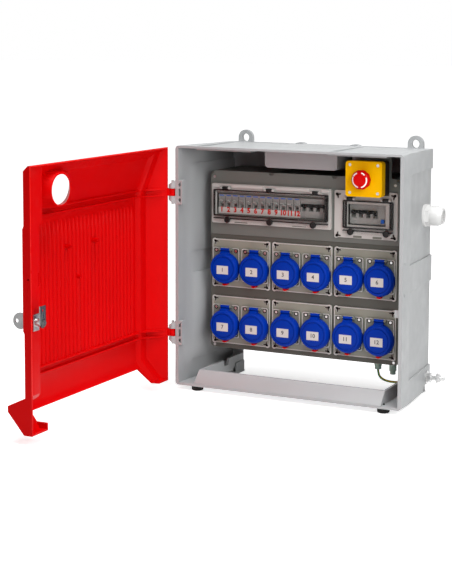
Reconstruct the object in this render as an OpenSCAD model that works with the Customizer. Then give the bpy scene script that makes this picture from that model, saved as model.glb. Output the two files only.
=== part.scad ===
// Portable power distribution box: grey moulded cabinet with a red hinged door,
// a breaker and socket panel, a stop button and an earthed cable entry.
// Millimetres. Z up, the front looks along -Y, the origin lies on the floor
// under the middle of the cabinet, between its four feet.

/* [Cabinet] */
// outer width at the front rim
body_w = 560; // [400:1:700]
// outer height without the feet
body_h = 560; // [400:1:700]
// outer depth
body_d = 250; // [180:1:350]
// wall thickness
wall_t = 5; // [3:0.5:8]
// how far each side leans in from front to back
side_draft = 22; // [0:1:40]
// how far the top drops from front to back
top_draft = 4; // [0:1:20]
// corner radius of the front outline
rim_r = 8; // [2:1:20]
// width of the front rim
rim_w = 8; // [5:0.5:14]
// depth of the thick front rim
rim_dep = 30; // [10:1:50]
// depth of the side recesses
recess_t = 4; // [0:0.5:8]
// where the side recesses start, behind the rim
recess_y = 58; // [30:1:120]
// length of the ramp into a recess
recess_ramp = 22; // [5:1:40]
// lower recess, bottom edge
rec_lo0 = 54; // [30:1:120]
// lower recess, top edge
rec_lo1 = 252; // [150:1:280]
// upper recess, bottom edge
rec_hi0 = 311; // [290:1:350]
// how far the upper recess ends under the top
rec_top = 49; // [20:1:160]
// rear part of the floor is raised from here
skirt_y = 191; // [120:1:230]
// height of that raised rear floor
skirt_h = 12; // [0:1:30]

/* [Base and openings] */
// half width of the floor opening for cables
tunnel_x = 226; // [100:1:240]
// height of the sill and of the rims beside the opening
sill_h = 34; // [15:1:60]
// depth of the leaning front sill
sill_d = 28; // [10:1:50]
// thickness of the sill and rims
sill_t = 6; // [3:0.5:10]
// height of the opening in the back wall
back_open_h = 72; // [40:1:75]
// height of the feet
foot_h = 12; // [6:1:25]
// radius of a rubber foot
foot_r = 14; // [8:0.5:20]
// sideways place of the front feet
foot_x = 232; // [180:1:250]
// place of the front feet behind the rim
foot_y = 20; // [15:1:60]
// half width of the handle pocket in the top rear
pocket_x = 90; // [60:1:120]
// front face of the handle pocket
pocket_y = 82; // [60:1:180]
// depth of the handle pocket under the top
pocket_h = 49; // [30:1:90]

/* [Wall lugs] */
// sideways place of the lugs
lug_x = 218; // [150:1:240]
// height of the lug hole over the top
lug_up = 6; // [0:1:20]
// outer radius of a lug
lug_r = 19; // [12:0.5:25]
// radius of the lug hole
lug_hole_r = 9.5; // [4:0.25:12]
// thickness of a lug
lug_t = 10; // [6:1:16]

/* [Hinges] */
// hinge axis outside the cabinet side
hinge_off_x = 10; // [8:0.5:16]
// hinge axis behind the rim plane
hinge_y = 5; // [0:0.5:10]
// radius of the ears
ear_r = 9; // [7:0.5:12]
// radius of the hinge pin
pin_r = 3; // [2:0.25:4]
// upper knuckle, distance under the top
knuckle_top = 108.5; // [60:0.5:160]
// height of the lower knuckle
knuckle_lo = 122.5; // [60:0.5:200]
// half length of a knuckle
knuckle_half = 8.5; // [5:0.5:15]
// half length of a whole hinge
hinge_half = 28; // [20:1:40]
// how far the door stands open at rest, degrees
door_rest = 90; // [0:1:120]

/* [Door] */
// gap between the door rim and the cabinet rim
door_gap = 1.5; // [0.5:0.1:4]
// bottom edge of the door
door_z0 = 9; // [0:1:30]
// how far the door ends under the top of the cabinet
door_top = 4; // [0:1:20]
// depth of the door shell at its foot
door_d = 60; // [30:1:90]
// depth of the door shell above the foot
mid_d = 56.5; // [30:0.5:90]
// depth of the door at its free edge
edge_d = 17.5; // [10:0.5:40]
// thickness of the door skin
door_t = 4; // [2.5:0.5:6]
// depth of the ledge beside the hinge slope
ledge_n = 42; // [20:1:50]
// width of that ledge
ledge_w = 24; // [10:1:40]
// how far the hinge slope leans, across for each unit of depth
lean = 0.69; // [0.3:0.01:1]
// depth of the flat strip along the free edge behind the rim plane
strip_n = 4.5; // [2:0.5:10]
// width of the strip near the top, from the free edge
strip_hi = 48; // [30:1:80]
// width of the strip lower down
strip_lo = 36; // [20:1:60]
// height at which the strip gets wider
strip_z = 436; // [300:1:500]
// width of the slope beside the strip
slope_w = 38; // [20:1:60]
// lower edge of the middle of the door, over the cable opening
cut_z = 44; // [30:1:100]
// length of the toe at the free edge, under the cable opening
toe_w = 58; // [30:1:120]
// height of the low wall at the end of the toe
toe_h = 25; // [10:1:40]
// thickness of a stiffening rib
rib_t = 3; // [2:0.5:5]
// heights of the stiffening ribs
rib_z = [112.5, 126.5, 442.5, 456.5]; // [60:0.5:540]
// radius of the hole in front of the stop button
hole_r = 31; // [20:0.5:45]
// end radius of the scoop around that hole
scoop_r = 43; // [35:1:60]
// how far the scoop reaches sideways at its open end
scoop_l = 82; // [0:1:120]
// number of upright flutes
flute_n = 27; // [10:1:40]
// flute spacing
flute_p = 15.2; // [8:0.2:20]
// place of the first flute from the hinge edge
flute_u = 79; // [60:0.5:100]
// height of a flute
flute_h = 4.5; // [1:0.5:6]
// radius of a flute
flute_r = 7; // [5:0.5:7.5]
// flutes: lower end, shoulder of the tip, point
flute_z = [129.5, 397, 427]; // [100:0.5:440]

/* [Lock] */
// lock axis from the free edge
lock_e = 20.5; // [14:0.5:40]
// height of the lock axis
lock_z = 239; // [150:1:400]
// radius of the lock barrel
barrel_r = 8.5; // [6:0.25:12]
// radius of the turning plug
plug_r = 5.5; // [4:0.25:8]
// reach of the cam
cam_l = 35; // [20:1:50]
// width of the cam
cam_w = 20; // [10:1:24]
// radius of the key bow
bow_r = 17; // [12:0.5:20]

/* [Panel] */
// front plane of the plates
panel_y = 94; // [60:1:140]
// thickness of the plates
plate_t = 3; // [2:0.5:6]
// half width of the panel box
box_x = 237; // [200:1:245]
// bottom of the panel box
box_z0 = 77; // [60:1:120]
// top of the panel box
box_z1 = 497; // [450:1:505]
// wall of the panel box
box_t = 4; // [2:0.5:8]
// width of a socket plate
plate_w = 151; // [120:1:160]
// height of a socket plate
plate_h = 113; // [90:1:130]
// gap between socket plates
plate_gap = 5; // [2:0.5:15]
// bottom of the upper row of plates
row_hi = 223.7; // [200:1:260]
// bottom of the lower row of plates
row_lo = 88.4; // [80:1:120]
// bottom of the breaker plate
upper_z0 = 348; // [340:1:360]

/* [Sockets] */
// distance between two sockets of a plate
sock_p = 75.5; // [70:0.5:80]
// height of a socket centre over the plate bottom
sock_dz = 45.3; // [40:0.1:60]
// how far the flange sits higher than the socket
flange_up = 9; // [0:0.5:12]
// sideways place of the flange screws
flange_sx = 25.5; // [20:0.5:30]
// upright place of the flange screws
flange_sz = 32; // [25:0.5:36]
// flange width
flange_w = 70; // [60:1:75]
// flange height
flange_h = 78; // [70:1:95]
// flange thickness
flange_t = 4; // [2:0.5:6]
// radius of the socket recess
well_r = 20.5; // [18:0.25:25]
// depth of the socket recess
well_d = 18; // [12:0.5:22]
// lid radius
lid_r = 36.3; // [30:0.1:37]
// lid depth
lid_d = 17; // [8:0.5:18]
// how much smaller the lid's front face is than its rim
lid_edge = 4; // [2:0.5:6]
// depth of the sloped front edge of a lid
lid_dome = 7; // [3:0.5:9]
// height of the lid hinge over the socket centre
lid_hz = 44; // [38:0.5:46]
// radius of the lid hinge barrel
lid_br = 3.4; // [2.5:0.1:4]
// radius of the lid hinge pin
lid_pr = 1.5; // [1:0.1:2]
// distance between the contact sleeves
pole_p = 19; // [15:0.5:25]
// outer radius of a contact sleeve
sleeve_r = 3.2; // [2.8:0.1:3.6]

/* [Breakers] */
// module width
mod_w = 17.6; // [17:0.1:18]
// left end of the breaker row
row_x = -218.8; // [-222:0.2:-200]
// centre height of the breaker row
dev_z = 420; // [410:1:430]
// left end of the earth leakage breaker
rcbo_x = 115; // [110:1:120]
// centre height of the earth leakage breaker
rcbo_z = 413.5; // [405:0.5:420]
// front face of the devices
dev_y = 100; // [96:1:110]
// depth of a device
dev_d = 65; // [50:1:75]
// toggle reach in front of the device
tog_l = 8; // [4:0.5:12]
// toggle throw, degrees
tog_a = 70; // [30:5:90]

/* [Window covers] */
// front cover, left edge
cov1_x0 = -224; // [-228:1:-215]
// front cover, right edge
cov1_x1 = 68; // [60:1:72]
// front cover, lower edge
cov1_z0 = 379; // [377:1:385]
// front cover, upper edge
cov1_z1 = 455; // [450:1:458]
// small cover, left edge
cov2_x0 = 102; // [98:1:108]
// small cover, right edge
cov2_x1 = 224; // [218:1:228]
// small cover, lower edge
cov2_z0 = 369; // [366:1:375]
// small cover, upper edge
cov2_z1 = 446; // [440:1:448]
// depth of the front cover
cov1_d = 8; // [6.5:0.5:14]
// depth of the small cover
cov2_d = 6.5; // [6.5:0.5:14]
// thickness of the frame behind the front cover
frame1_t = 6; // [3:0.5:10]
// thickness of the frame behind the small cover
frame2_t = 3.5; // [2:0.5:10]
// wall of a cover
cov_t = 2.5; // [1.5:0.25:4]
// radius of a cover knob
knob_r = 7.5; // [5:0.5:10]
// radius of its shaft
shaft_r = 3.4; // [2:0.1:4]

/* [Stop button] */
// sideways place of the stop button
stop_x = 169; // [150:1:180]
// height of the stop button
stop_z = 499; // [480:1:505]
// width of the stop box
stop_w = 86; // [60:1:100]
// height of the stop box
stop_h = 79; // [60:1:90]
// depth of the dark base
stop_base_d = 28; // [15:1:40]
// depth of the yellow cover
stop_cov_d = 21; // [10:1:30]
// radius of the mushroom
mush_r = 22; // [15:0.5:25]
// radius of its stem
stem_r = 8; // [5:0.5:12]

/* [Cable entries] */
// height of the side gland
gland_z = 408; // [380:1:440]
// place of the side gland before the back
gland_b = 55; // [45:1:100]
// thread radius of the side gland
gland_r = 20; // [12:0.5:25]
// cable bore of the side gland
gland_bore = 14; // [8:0.5:18]
// flange radius of the side gland
gland_fl = 26; // [20:0.5:30]
// height of the earth stud
stud_z = 28.5; // [20:0.5:40]
// place of the earth stud before the back
stud_b = 31; // [20:1:50]
// radius of the earth stud
stud_r = 5; // [3:0.5:6]
// radius of its big washer
washer_r = 15.5; // [10:0.5:16]
// radius of the earth wire
wire_r = 2.6; // [1.5:0.1:4]

/* [Clearances] */
// running clearance on pins and shafts
fit_c = 0.3; // [0.1:0.05:0.6]
// seat clearance between loose pieces
seat_c = 0.3; // [0.1:0.05:0.6]

/* [Hidden] */
$fn = 48;
e = 0.01;
k = side_draft / body_d;
wall_a = atan(k);
hinge_x = -body_w / 2 - hinge_off_x;
door_x0 = -body_w / 2;
door_z1 = body_h - door_top;
rec_hi1 = body_h - rec_top;
pocket_z = body_h - pocket_h;
lug_z = body_h + lug_up;
knuckle_hi = body_h - knuckle_top;
lock_u = body_w - lock_e;
gland_y = body_d - gland_b;
stud_y = body_d - stud_b;
strip_u = body_w - strip_hi;
floor_n = mid_d - 4.5;
stop_u = stop_x - door_x0;
out_n = edge_d - 2.5;
toe_u = body_w - toe_w;
box_y1 = body_d - wall_t;
box_y0 = panel_y + plate_t;
box_r = 8;
lid_y = panel_y - flange_t - seat_c - lid_d;
lid_ay = panel_y - flange_t - lid_br - 1;
lid_rim = lid_y + lid_dome;
plate_x0 = -(3 * plate_w + 2 * plate_gap) / 2;
plate_pitch = plate_w + plate_gap;
frame1_y = panel_y - frame1_t;
frame2_y = panel_y - frame2_t;
stop_y0 = panel_y - stop_base_d - stop_cov_d;
tog_y = dev_y + 6;
knobs = [[-185, 384.5, 1], [-76, 384.5, 1], [33, 384.5, 1], [123, 374.5, 2], [209, 374.5, 2]];
wire_pts = [[168, 150, 64], [168, 150, 55], [168.8, 149.6, 46], [173, 148, 36.5], [183, 147, 30],
  [196, 147.6, 27], [210, 150.5, 26], [223, 155.5, 26], [235, 162.5, 26.6], [245.5, 171, 27.5],
  [252.2, 181, 28.4], [254.12, 191, 28.5], [253.33, 200, 28.5]];
function hw(y) = body_w / 2 - k * y;
function ztop(y) = body_h - top_draft * y / body_d;
function sx(i) = plate_x0 + floor(i / 2) * plate_pitch + plate_w / 2 + (i % 2 - 0.5) * sock_p;
function sock_x(n) = sx(n % 6);
function sock_z(n) = (n < 6 ? row_hi : row_lo) + sock_dz;

// ---- helpers: extrusions along each axis from outlines in true coordinates ----
module ex_x(x0, x1) translate([x0, 0, 0]) rotate([90, 0, 90]) linear_extrude(x1 - x0) children();
module ex_y(y0, y1) translate([0, y1, 0]) rotate([90, 0, 0]) linear_extrude(y1 - y0) children();
module ex_z(z0, z1) translate([0, 0, z0]) linear_extrude(z1 - z0) children();
module rr(w, h, r) {
  square([w - 2 * r, h], center = true);
  square([w, h - 2 * r], center = true);
  for (i = [-1, 1], j = [-1, 1]) translate([i * (w / 2 - r), j * (h / 2 - r)]) circle(r);
}
module at2(x, z) translate([x, z]) children();
module cyl_y(r, y0, y1, x, z) translate([x, y1, z]) rotate([90, 0, 0]) cylinder(r = r, h = y1 - y0);
module cone_y(ra, rb, y0, y1, x, z) translate([x, y1, z]) rotate([90, 0, 0])
  cylinder(r1 = rb, r2 = ra, h = y1 - y0);
module cyl_x(r, x0, x1, y, z) translate([x0, y, z]) rotate([0, 90, 0]) cylinder(r = r, h = x1 - x0);
module hex_y(af, y0, y1, x, z) translate([x, y1, z]) rotate([90, 0, 0])
  cylinder(r = af / sqrt(3), h = y1 - y0, $fn = 6);
// the cabinet's own frame: front rim plane y = 0, underside z = 0
module box_frame() translate([0, -body_d / 2, foot_h]) children();
// the door swung out to its rest place
module door_frame() box_frame() translate([hinge_x, hinge_y, 0]) rotate([0, 0, -door_rest])
  translate([-hinge_x, -hinge_y, 0]) children();
// plane of the right cabinet wall, x outwards from its outer face
module wall_frame(y, z, off) box_frame() translate([hw(y) - off, y, z]) rotate([0, 0, wall_a])
  rotate([0, 90, 0]) children();

// ---- cabinet ----
module trapezoid(o, y0, y1) polygon([[-hw(y0) + o, y0], [hw(y0) - o, y0], [hw(y1) - o, y1],
  [-hw(y1) + o, y1]]);
module side_rec(z0, z1, o, g) for (s = [0, 1]) mirror([s, 0, 0]) ex_z(z0 - g, z1 + g)
  polygon([[hw(recess_y) - o, recess_y], [hw(recess_y + recess_ramp) - o - recess_t,
    recess_y + recess_ramp], [hw(body_d + 1) - o - recess_t, body_d + 1],
    [hw(0) - o + 20, body_d + 1], [hw(0) - o + 20, recess_y]]);
module top_rec(z0, z1) for (s = [0, 1]) mirror([s, 0, 0]) translate([96, 18, z0])
  cube([138, 216, z1 - z0]);
module shell_solid() difference() {
  intersection() {
    ex_z(-1, body_h + 1) trapezoid(0, 0, body_d);
    ex_x(-body_w, body_w) polygon([[0, 0], [skirt_y, 0], [skirt_y, skirt_h], [body_d, skirt_h + 2],
      [body_d, body_h - top_draft], [0, body_h]]);
    ex_y(0, body_d) at2(0, body_h / 2) rr(body_w, body_h, rim_r);
  }
  difference() {
    intersection() {
      ex_z(0, body_h) polygon([[-body_w / 2 + rim_w, -1], [body_w / 2 - rim_w, -1],
        [body_w / 2 - rim_w, rim_dep], [hw(rim_dep + 6) - wall_t, rim_dep + 6],
        [hw(box_y1) - wall_t, box_y1], [-hw(box_y1) + wall_t, box_y1],
        [-hw(rim_dep + 6) + wall_t, rim_dep + 6], [-body_w / 2 + rim_w, rim_dep]]);
      ex_x(-body_w, body_w) polygon([[-1, wall_t], [skirt_y - wall_t, wall_t],
        [skirt_y - wall_t, skirt_h + wall_t], [box_y1, skirt_h + wall_t + 2],
        [box_y1, ztop(box_y1) - wall_t], [-1, body_h - wall_t]]);
    }
    side_pads();
    top_rec(body_h - wall_t - 5, body_h);
  }
  side_rec(rec_lo0, rec_lo1, 0, 0);
  side_rec(rec_hi0, rec_hi1, 0, 0);
  top_rec(body_h - 4.5, body_h + 5);
}
module side_pads() for (z = [[rec_lo0, rec_lo1], [rec_hi0, rec_hi1]], s = [0, 1])
  mirror([s, 0, 0]) ex_z(z[0] - 4, z[1] + 4) polygon([[hw(recess_y) - wall_t, recess_y],
    [hw(recess_y + recess_ramp) - wall_t - recess_t, recess_y + recess_ramp],
    [hw(box_y1) - wall_t - recess_t, box_y1 + 1], [body_w, box_y1 + 1], [body_w, recess_y]]);
module sill() ex_x(-tunnel_x - sill_t, tunnel_x + sill_t)
  polygon([[0, 0], [11, 0], [sill_d + 8, sill_h - 6], [sill_d + 8, sill_h], [sill_d, sill_h],
    [2, 7], [0, 7]]);
module rims() for (s = [0, 1]) mirror([s, 0, 0]) ex_x(tunnel_x, tunnel_x + sill_t)
  polygon([[sill_d - 2, 0], [skirt_y, 0], [skirt_y, skirt_h - 6], [box_y1 + e, skirt_h - 6],
    [box_y1 + e, sill_h], [172, sill_h], [168, 19], [146, 19], [142, sill_h], [sill_d, sill_h]]);
module rear_feet() for (s = [0, 1]) mirror([s, 0, 0]) translate([222, 205, 0]) {
  translate([0, 0, -foot_h]) cube([26, 43, 4]);
  for (i = [0:2]) translate([1 + i * 10.5, 0, -foot_h + 4 - e]) cube([3, 43, foot_h + skirt_h]);
}
module ear(z0, z1, up) difference() {
  intersection() {
    ex_z(z0, z1) {
      translate([hinge_x, hinge_y]) circle(ear_r);
      polygon([[hinge_x, hinge_y - ear_r], [-body_w / 2 - 0.4, -0.5],
        [-body_w / 2 - 0.4, 0], [-body_w / 2 + 3, 0], [-body_w / 2 + 3, hinge_y + 14],
        [hinge_x, hinge_y + ear_r]]);
    }
    ex_y(-20, 40) polygon(up ? [[hinge_x - ear_r - 1, z0 - 1], [-body_w / 2 + 4, z0 - 1],
      [-body_w / 2 + 4, z1 + 1], [-body_w / 2, z1], [hinge_x - ear_r, z1 - 12],
      [hinge_x - ear_r - 1, z1 - 13]] : [[hinge_x - ear_r - 1, z1 + 1], [-body_w / 2 + 4, z1 + 1],
      [-body_w / 2 + 4, z0 - 1], [-body_w / 2, z0], [hinge_x - ear_r, z0 + 12],
      [hinge_x - ear_r - 1, z0 + 13]]);
  }
  translate([hinge_x, hinge_y, z0 - 1]) cylinder(r = pin_r, h = z1 - z0 + 2);
}
module hinge_side(zc) {
  ear(zc + knuckle_half + 0.5, zc + hinge_half, true);
  ear(zc - hinge_half, zc - knuckle_half - 0.5, false);
  difference() {
    translate([-body_w / 2 + 1, 0, zc - hinge_half]) cube([16, 16, 2 * hinge_half]);
    for (s = [0, 1]) translate([0, 0, zc]) mirror([0, 0, s]) ex_y(-1, 12)
      polygon([[-body_w / 2 + 3, 15], [-body_w / 2 + 14, 13], [-body_w / 2 + 14, 25]]);
    translate([-body_w / 2 + 6, -1, zc - knuckle_half]) cube([8, 9, 2 * knuckle_half]);
  }
}
module lug() difference() {
  ex_y(body_d - lug_t, body_d) union() {
    at2(lug_x, lug_z) circle(lug_r);
    at2(lug_x - lug_r, lug_z - 30) square([2 * lug_r, 30]);
  }
  cyl_y(lug_hole_r, body_d - lug_t - 1, body_d + 1, lug_x, lug_z);
}
module housing() color([0.76, 0.77, 0.77]) {
  box_frame() difference() {
    union() {
      difference() {
        shell_solid();
        translate([-tunnel_x, 11, -1]) cube([2 * tunnel_x, body_d, 1 + sill_h + 4]);
        translate([-tunnel_x, box_y1 - 1, -1]) cube([2 * tunnel_x, 20, 1 + back_open_h]);
      }
      sill();
      rims();
      rear_feet();
      difference() {
        ex_y(pocket_y, box_y1 + e) at2(0, (pocket_z + body_h - 6) / 2)
          rr(2 * pocket_x, body_h - 6 - pocket_z, 9);
        ex_y(pocket_y + 4, body_d + 1) at2(0, (pocket_z + body_h - 9) / 2)
          rr(2 * pocket_x - 8, body_h - pocket_z - 17, 6);
      }
      for (s = [0, 1]) mirror([s, 0, 0]) {
        lug();
        intersection() {
          cyl_y(24, body_d - 20, body_d, 70, ztop(body_d) - 20);
          translate([40, body_d - 30, ztop(body_d) - 4]) cube([60, 30, 20]);
        }
      }
      hinge_side(knuckle_hi);
      hinge_side(knuckle_lo);
    }
    // handle pocket mouth
    ex_y(body_d - 20, body_d + 1) at2(0, (pocket_z + body_h - 9) / 2)
      rr(2 * pocket_x - 8, body_h - pocket_z - 17, 6);
    for (z = [252, 320]) cyl_x(4, body_w / 2 - 3, body_w / 2 + 5, 17, z);
    // holes for the cable gland and the earth stud, square to the leaning wall
    translate([hw(gland_y) - recess_t, gland_y, gland_z]) rotate([0, 90, wall_a])
      cylinder(r = gland_r + seat_c / 2, h = 30, center = true);
    translate([hw(stud_y), stud_y, stud_z]) rotate([0, 90, wall_a])
      cylinder(r = stud_r + seat_c / 2, h = 30, center = true);
    for (x = [-foot_x, foot_x]) translate([x, foot_y, -1]) cylinder(r = 3, h = wall_t + 4);
  }
}

// ---- small parts of the cabinet ----
module rubber_feet() color([0.08, 0.08, 0.08]) box_frame() for (s = [-1, 1])
  translate([s * foot_x, foot_y, 0]) rotate_extrude() polygon([[0, -foot_h + 3], [5, -foot_h + 3],
    [5, -foot_h], [foot_r - 2, -foot_h], [foot_r, -foot_h + 2], [foot_r, 0], [3, 0], [3, wall_t],
    [4, wall_t], [2.2, wall_t + 3], [0, wall_t + 3]]);
keep_x = body_w / 2 - rim_w;
keep_z = lock_z - cam_l;
module lock_keeper() color([0.76, 0.77, 0.77]) box_frame() difference() {
  union() {
    translate([keep_x - 2, 4, keep_z - 2]) cube([2, 22, 24]);
    translate([keep_x - 11, 4, keep_z]) cube([10, 2.5, 17]);
  }
  for (z = [3, 17]) cyl_x(2.2, keep_x - 4, keep_x + 1, 20, keep_z + z);
}
module pocket(x0, x1, z0, z1) ex_y(box_y0 - 1, box_y0 + 4) at2((x0 + x1) / 2, (z0 + z1) / 2)
  rr(x1 - x0, z1 - z0, 4);
module panel_box() color([0.56, 0.53, 0.50]) box_frame() difference() {
  ex_y(box_y0, box_y1) at2(0, (box_z0 + box_z1) / 2) rr(2 * box_x, box_z1 - box_z0, box_r);
  ex_y(box_y0 + 3, box_y1 - box_t) at2(0, (box_z0 + box_z1) / 2)
    rr(2 * box_x - 2 * box_t, box_z1 - box_z0 - 2 * box_t, box_r - box_t);
  for (i = [-1:1], z = [row_hi, row_lo])
    pocket(i * plate_pitch - plate_w / 2 + 4, i * plate_pitch + plate_w / 2 - 4, z + 4,
      z + plate_h - 4);
  pocket(-224, 68, dev_z - 26, dev_z + 28);
  pocket(107, 211, rcbo_z - 26, rcbo_z + 26);
  for (x = [168, 204]) translate([x, 150, box_z0 - 1]) cylinder(r = 6, h = box_t + 2);
}
module upper_plate() color([0.60, 0.58, 0.55]) box_frame() difference() {
  ex_y(panel_y, box_y0) union() {
    at2(0, (upper_z0 + box_z1 + 1) / 2) rr(2 * box_x - 2, box_z1 + 1 - upper_z0, 3);
    at2(stop_x - stop_w / 2 - 4, box_z1 - 20) square([stop_w + 8, stop_z + stop_h / 2 + 26 - box_z1]);
  }
  for (x = [-1, 1], p = [[79, 7], [box_x, 10]]) cyl_y(p[1], panel_y - 1, box_y0 + 1, x * p[0],
    box_z1 + 1);
  translate([-221.5, panel_y - 1, dev_z - 23]) cube([287, plate_t + 2, 48]);
  translate([rcbo_x - 1.5, panel_y - 1, rcbo_z - 23.5]) cube([5 * mod_w + 3, plate_t + 2, 47]);
}
module socket_plates() color([0.60, 0.58, 0.55]) box_frame() for (i = [-1:1], z = [row_hi, row_lo])
  difference() {
    ex_y(panel_y, box_y0) at2(i * plate_pitch, z + plate_h / 2) rr(plate_w, plate_h, 3);
    for (s = [-1, 1]) cyl_y(well_r + 2.5, panel_y - 1, box_y0 + 1, i * plate_pitch + s * sock_p / 2,
      z + sock_dz);
    for (a = [-1, 1], b = [-1, 1]) cyl_y(2.6, panel_y - 1, box_y0 + 1,
      i * plate_pitch + a * (plate_w / 2 - 3.8), z + plate_h / 2 + b * (plate_h / 2 - 3.8));
  }

// ---- sockets ----
module socket_bodies() color([0.80, 0.80, 0.79]) box_frame() for (n = [0:11])
  translate([sock_x(n), 0, sock_z(n)]) difference() {
    union() {
      ex_y(panel_y - flange_t, panel_y) at2(0, flange_up) rr(flange_w, flange_h, 5);
      cyl_y(well_r + 2.5, panel_y - e, panel_y + well_d + 3, 0, 0);
      for (s = [-1, 1]) ex_x(s * 14.8 - 2.3, s * 14.8 + 2.3) difference() {
        union() {
          at2(lid_ay, lid_hz) circle(lid_br);
          at2(lid_ay, lid_hz - lid_br) square([panel_y - flange_t + e - lid_ay, 2 * lid_br]);
        }
        at2(lid_ay, lid_hz) circle(lid_pr);
      }
    }
    cyl_y(well_r, panel_y - flange_t - 1, panel_y - flange_t + well_d, 0, 0);
    for (s = [-1, 1]) cyl_y(sleeve_r, panel_y, panel_y + well_d + 4, s * pole_p / 2, 0);
    for (a = [-1, 1], b = [-1, 1]) {
      cyl_y(1.6, panel_y - flange_t - 1, panel_y + 1, a * flange_sx, flange_up + b * flange_sz);
      cyl_y(3.3, panel_y - flange_t - 1, panel_y - flange_t + 1.7, a * flange_sx,
        flange_up + b * flange_sz);
    }
  }
module socket_contacts() color([0.80, 0.66, 0.34]) box_frame() for (n = [0:11])
  translate([sock_x(n), 0, sock_z(n)]) {
    for (s = [-1, 1]) difference() {
      cyl_y(sleeve_r, panel_y - flange_t + well_d + 1, panel_y + well_d + 8, s * pole_p / 2, 0);
      cyl_y(sleeve_r - 0.7, panel_y - flange_t + well_d, panel_y + well_d + 6, s * pole_p / 2, 0);
    }
    for (s = [-1, 1]) translate([-2, panel_y + 2, s * (well_r - 1.2) - 1]) cube([4, well_d - 6, 2]);
  }
module lid_catches() color([0.78, 0.10, 0.10]) box_frame() for (n = [0:11])
  translate([sock_x(n), 0, sock_z(n) - lid_r]) ex_x(-6, 6) polygon([[panel_y, -0.8],
    [lid_rim + 1.5, -0.8], [lid_rim, -2], [lid_rim, -3], [panel_y, -4.5]]);
// lid closed against its flange, hinged along its top
module lid(n) color([0.10, 0.36, 0.68]) box_frame() translate([sock_x(n - 1), 0, sock_z(n - 1)])
  difference() {
    union() {
      cyl_y(lid_r, lid_rim, lid_y + lid_d, 0, 0);
      cone_y(lid_r - lid_edge, lid_r, lid_y, lid_rim + e, 0, 0);
      ex_x(-11, 11) union() {
        at2(lid_ay, lid_hz) circle(lid_br);
        at2(lid_ay - lid_br, 28) square([5, lid_hz - 28]);
      }
    }
    cyl_y(lid_r - 3, lid_rim, lid_y + lid_d + 1, 0, 0);
    cyl_y(lid_r - lid_edge - 3.5, lid_y + 2.5, lid_rim + 1, 0, 0);
    cyl_x(lid_pr + fit_c, -12, 12, lid_ay, lid_hz);
  }
module socket_lid_01() lid(1);
module socket_lid_02() lid(2);
module socket_lid_03() lid(3);
module socket_lid_04() lid(4);
module socket_lid_05() lid(5);
module socket_lid_06() lid(6);
module socket_lid_07() lid(7);
module socket_lid_08() lid(8);
module socket_lid_09() lid(9);
module socket_lid_10() lid(10);
module socket_lid_11() lid(11);
module socket_lid_12() lid(12);

// ---- breakers ----
module rail(x0, x1, z) {
  ex_x(x0, x1) difference() {
    at2(dev_y + dev_d, z - 17.5) square([7.5, 35]);
    at2(dev_y + dev_d - 1, z - 12.5) square([7.3, 25]);
    at2(dev_y + dev_d + 1.2, z - 18) square([8, 4.3]);
    at2(dev_y + dev_d + 1.2, z + 13.7) square([8, 4.3]);
  }
  for (x = [x0 + 30, x1 - 30]) cyl_y(6, dev_y + dev_d + 7.5 - e, box_y1 - box_t, x, z);
}
module din_rails() color([0.74, 0.75, 0.76]) box_frame() {
  rail(-228, 78, dev_z);
  rail(96, 228, rcbo_z);
}
module tog_slot(x, z) {
  translate([x - 5, dev_y - 1, z - 7.5]) cube([10, 7, 15]);
  cyl_x(6.2, x - 5, x + 5, tog_y, z);
  cyl_x(1.5 + fit_c, x - 6.8, x + 6.8, tog_y, z);
}
module device(x0, x1, z) {
  translate([x0, dev_y, z - 22.5]) cube([x1 - x0, 17, 45]);
  translate([x0, dev_y + 16, z - 40]) cube([x1 - x0, dev_d - 16, 80]);
}
module breaker_bodies() color([0.90, 0.90, 0.89]) box_frame() {
  for (i = [0:11]) difference() {
    device(row_x + i * mod_w + 0.1, row_x + (i + 1) * mod_w - 0.1, dev_z);
    tog_slot(row_x + (i + 0.5) * mod_w, dev_z);
  }
  difference() {
    device(row_x + 12 * mod_w + 0.1, row_x + 16 * mod_w - 0.1, dev_z);
    for (i = [12:15]) tog_slot(row_x + (i + 0.5) * mod_w, dev_z);
  }
}
module rcbo_body() color([0.90, 0.90, 0.89]) box_frame() difference() {
  device(rcbo_x, rcbo_x + 5 * mod_w, rcbo_z);
  for (i = [0:3]) tog_slot(rcbo_x + (i + 0.5) * mod_w, rcbo_z);
  translate([rcbo_x + 4.5 * mod_w - 4.5, dev_y - 1, 400 - 4.5]) cube([9, 8, 9]);
  cyl_y(1.8 + fit_c, dev_y + 6, dev_y + 14, rcbo_x + 4.5 * mod_w, 400);
}
// switch lever, tipped up by half its throw
module lever(x, z) translate([x, tog_y, z]) {
  cyl_x(5.5, -4, 4, 0, 0);
  cyl_x(1.5, -6.3, 6.3, 0, 0);
  rotate([-tog_a / 2, 0, 0]) translate([-4, -6 - tog_l, -1.6]) cube([8, 6 + tog_l, 3.2]);
}
module tog(n) color([0.12, 0.12, 0.13]) box_frame() lever(row_x + (n - 0.5) * mod_w, dev_z);
module breaker_toggle_01() tog(1);
module breaker_toggle_02() tog(2);
module breaker_toggle_03() tog(3);
module breaker_toggle_04() tog(4);
module breaker_toggle_05() tog(5);
module breaker_toggle_06() tog(6);
module breaker_toggle_07() tog(7);
module breaker_toggle_08() tog(8);
module breaker_toggle_09() tog(9);
module breaker_toggle_10() tog(10);
module breaker_toggle_11() tog(11);
module breaker_toggle_12() tog(12);
module gang(x0, z) {
  for (i = [0:3]) lever(x0 + (i + 0.5) * mod_w, z);
  translate([x0 + mod_w / 2 - 4, tog_y, z]) rotate([-tog_a / 2, 0, 0])
    translate([-0.4, -6.4 - tog_l, -1.9]) cube([3 * mod_w + 8.8, 3.2, 3.8]);
}
module main_toggle() color([0.12, 0.12, 0.13]) box_frame() gang(row_x + 12 * mod_w, dev_z);
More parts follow.
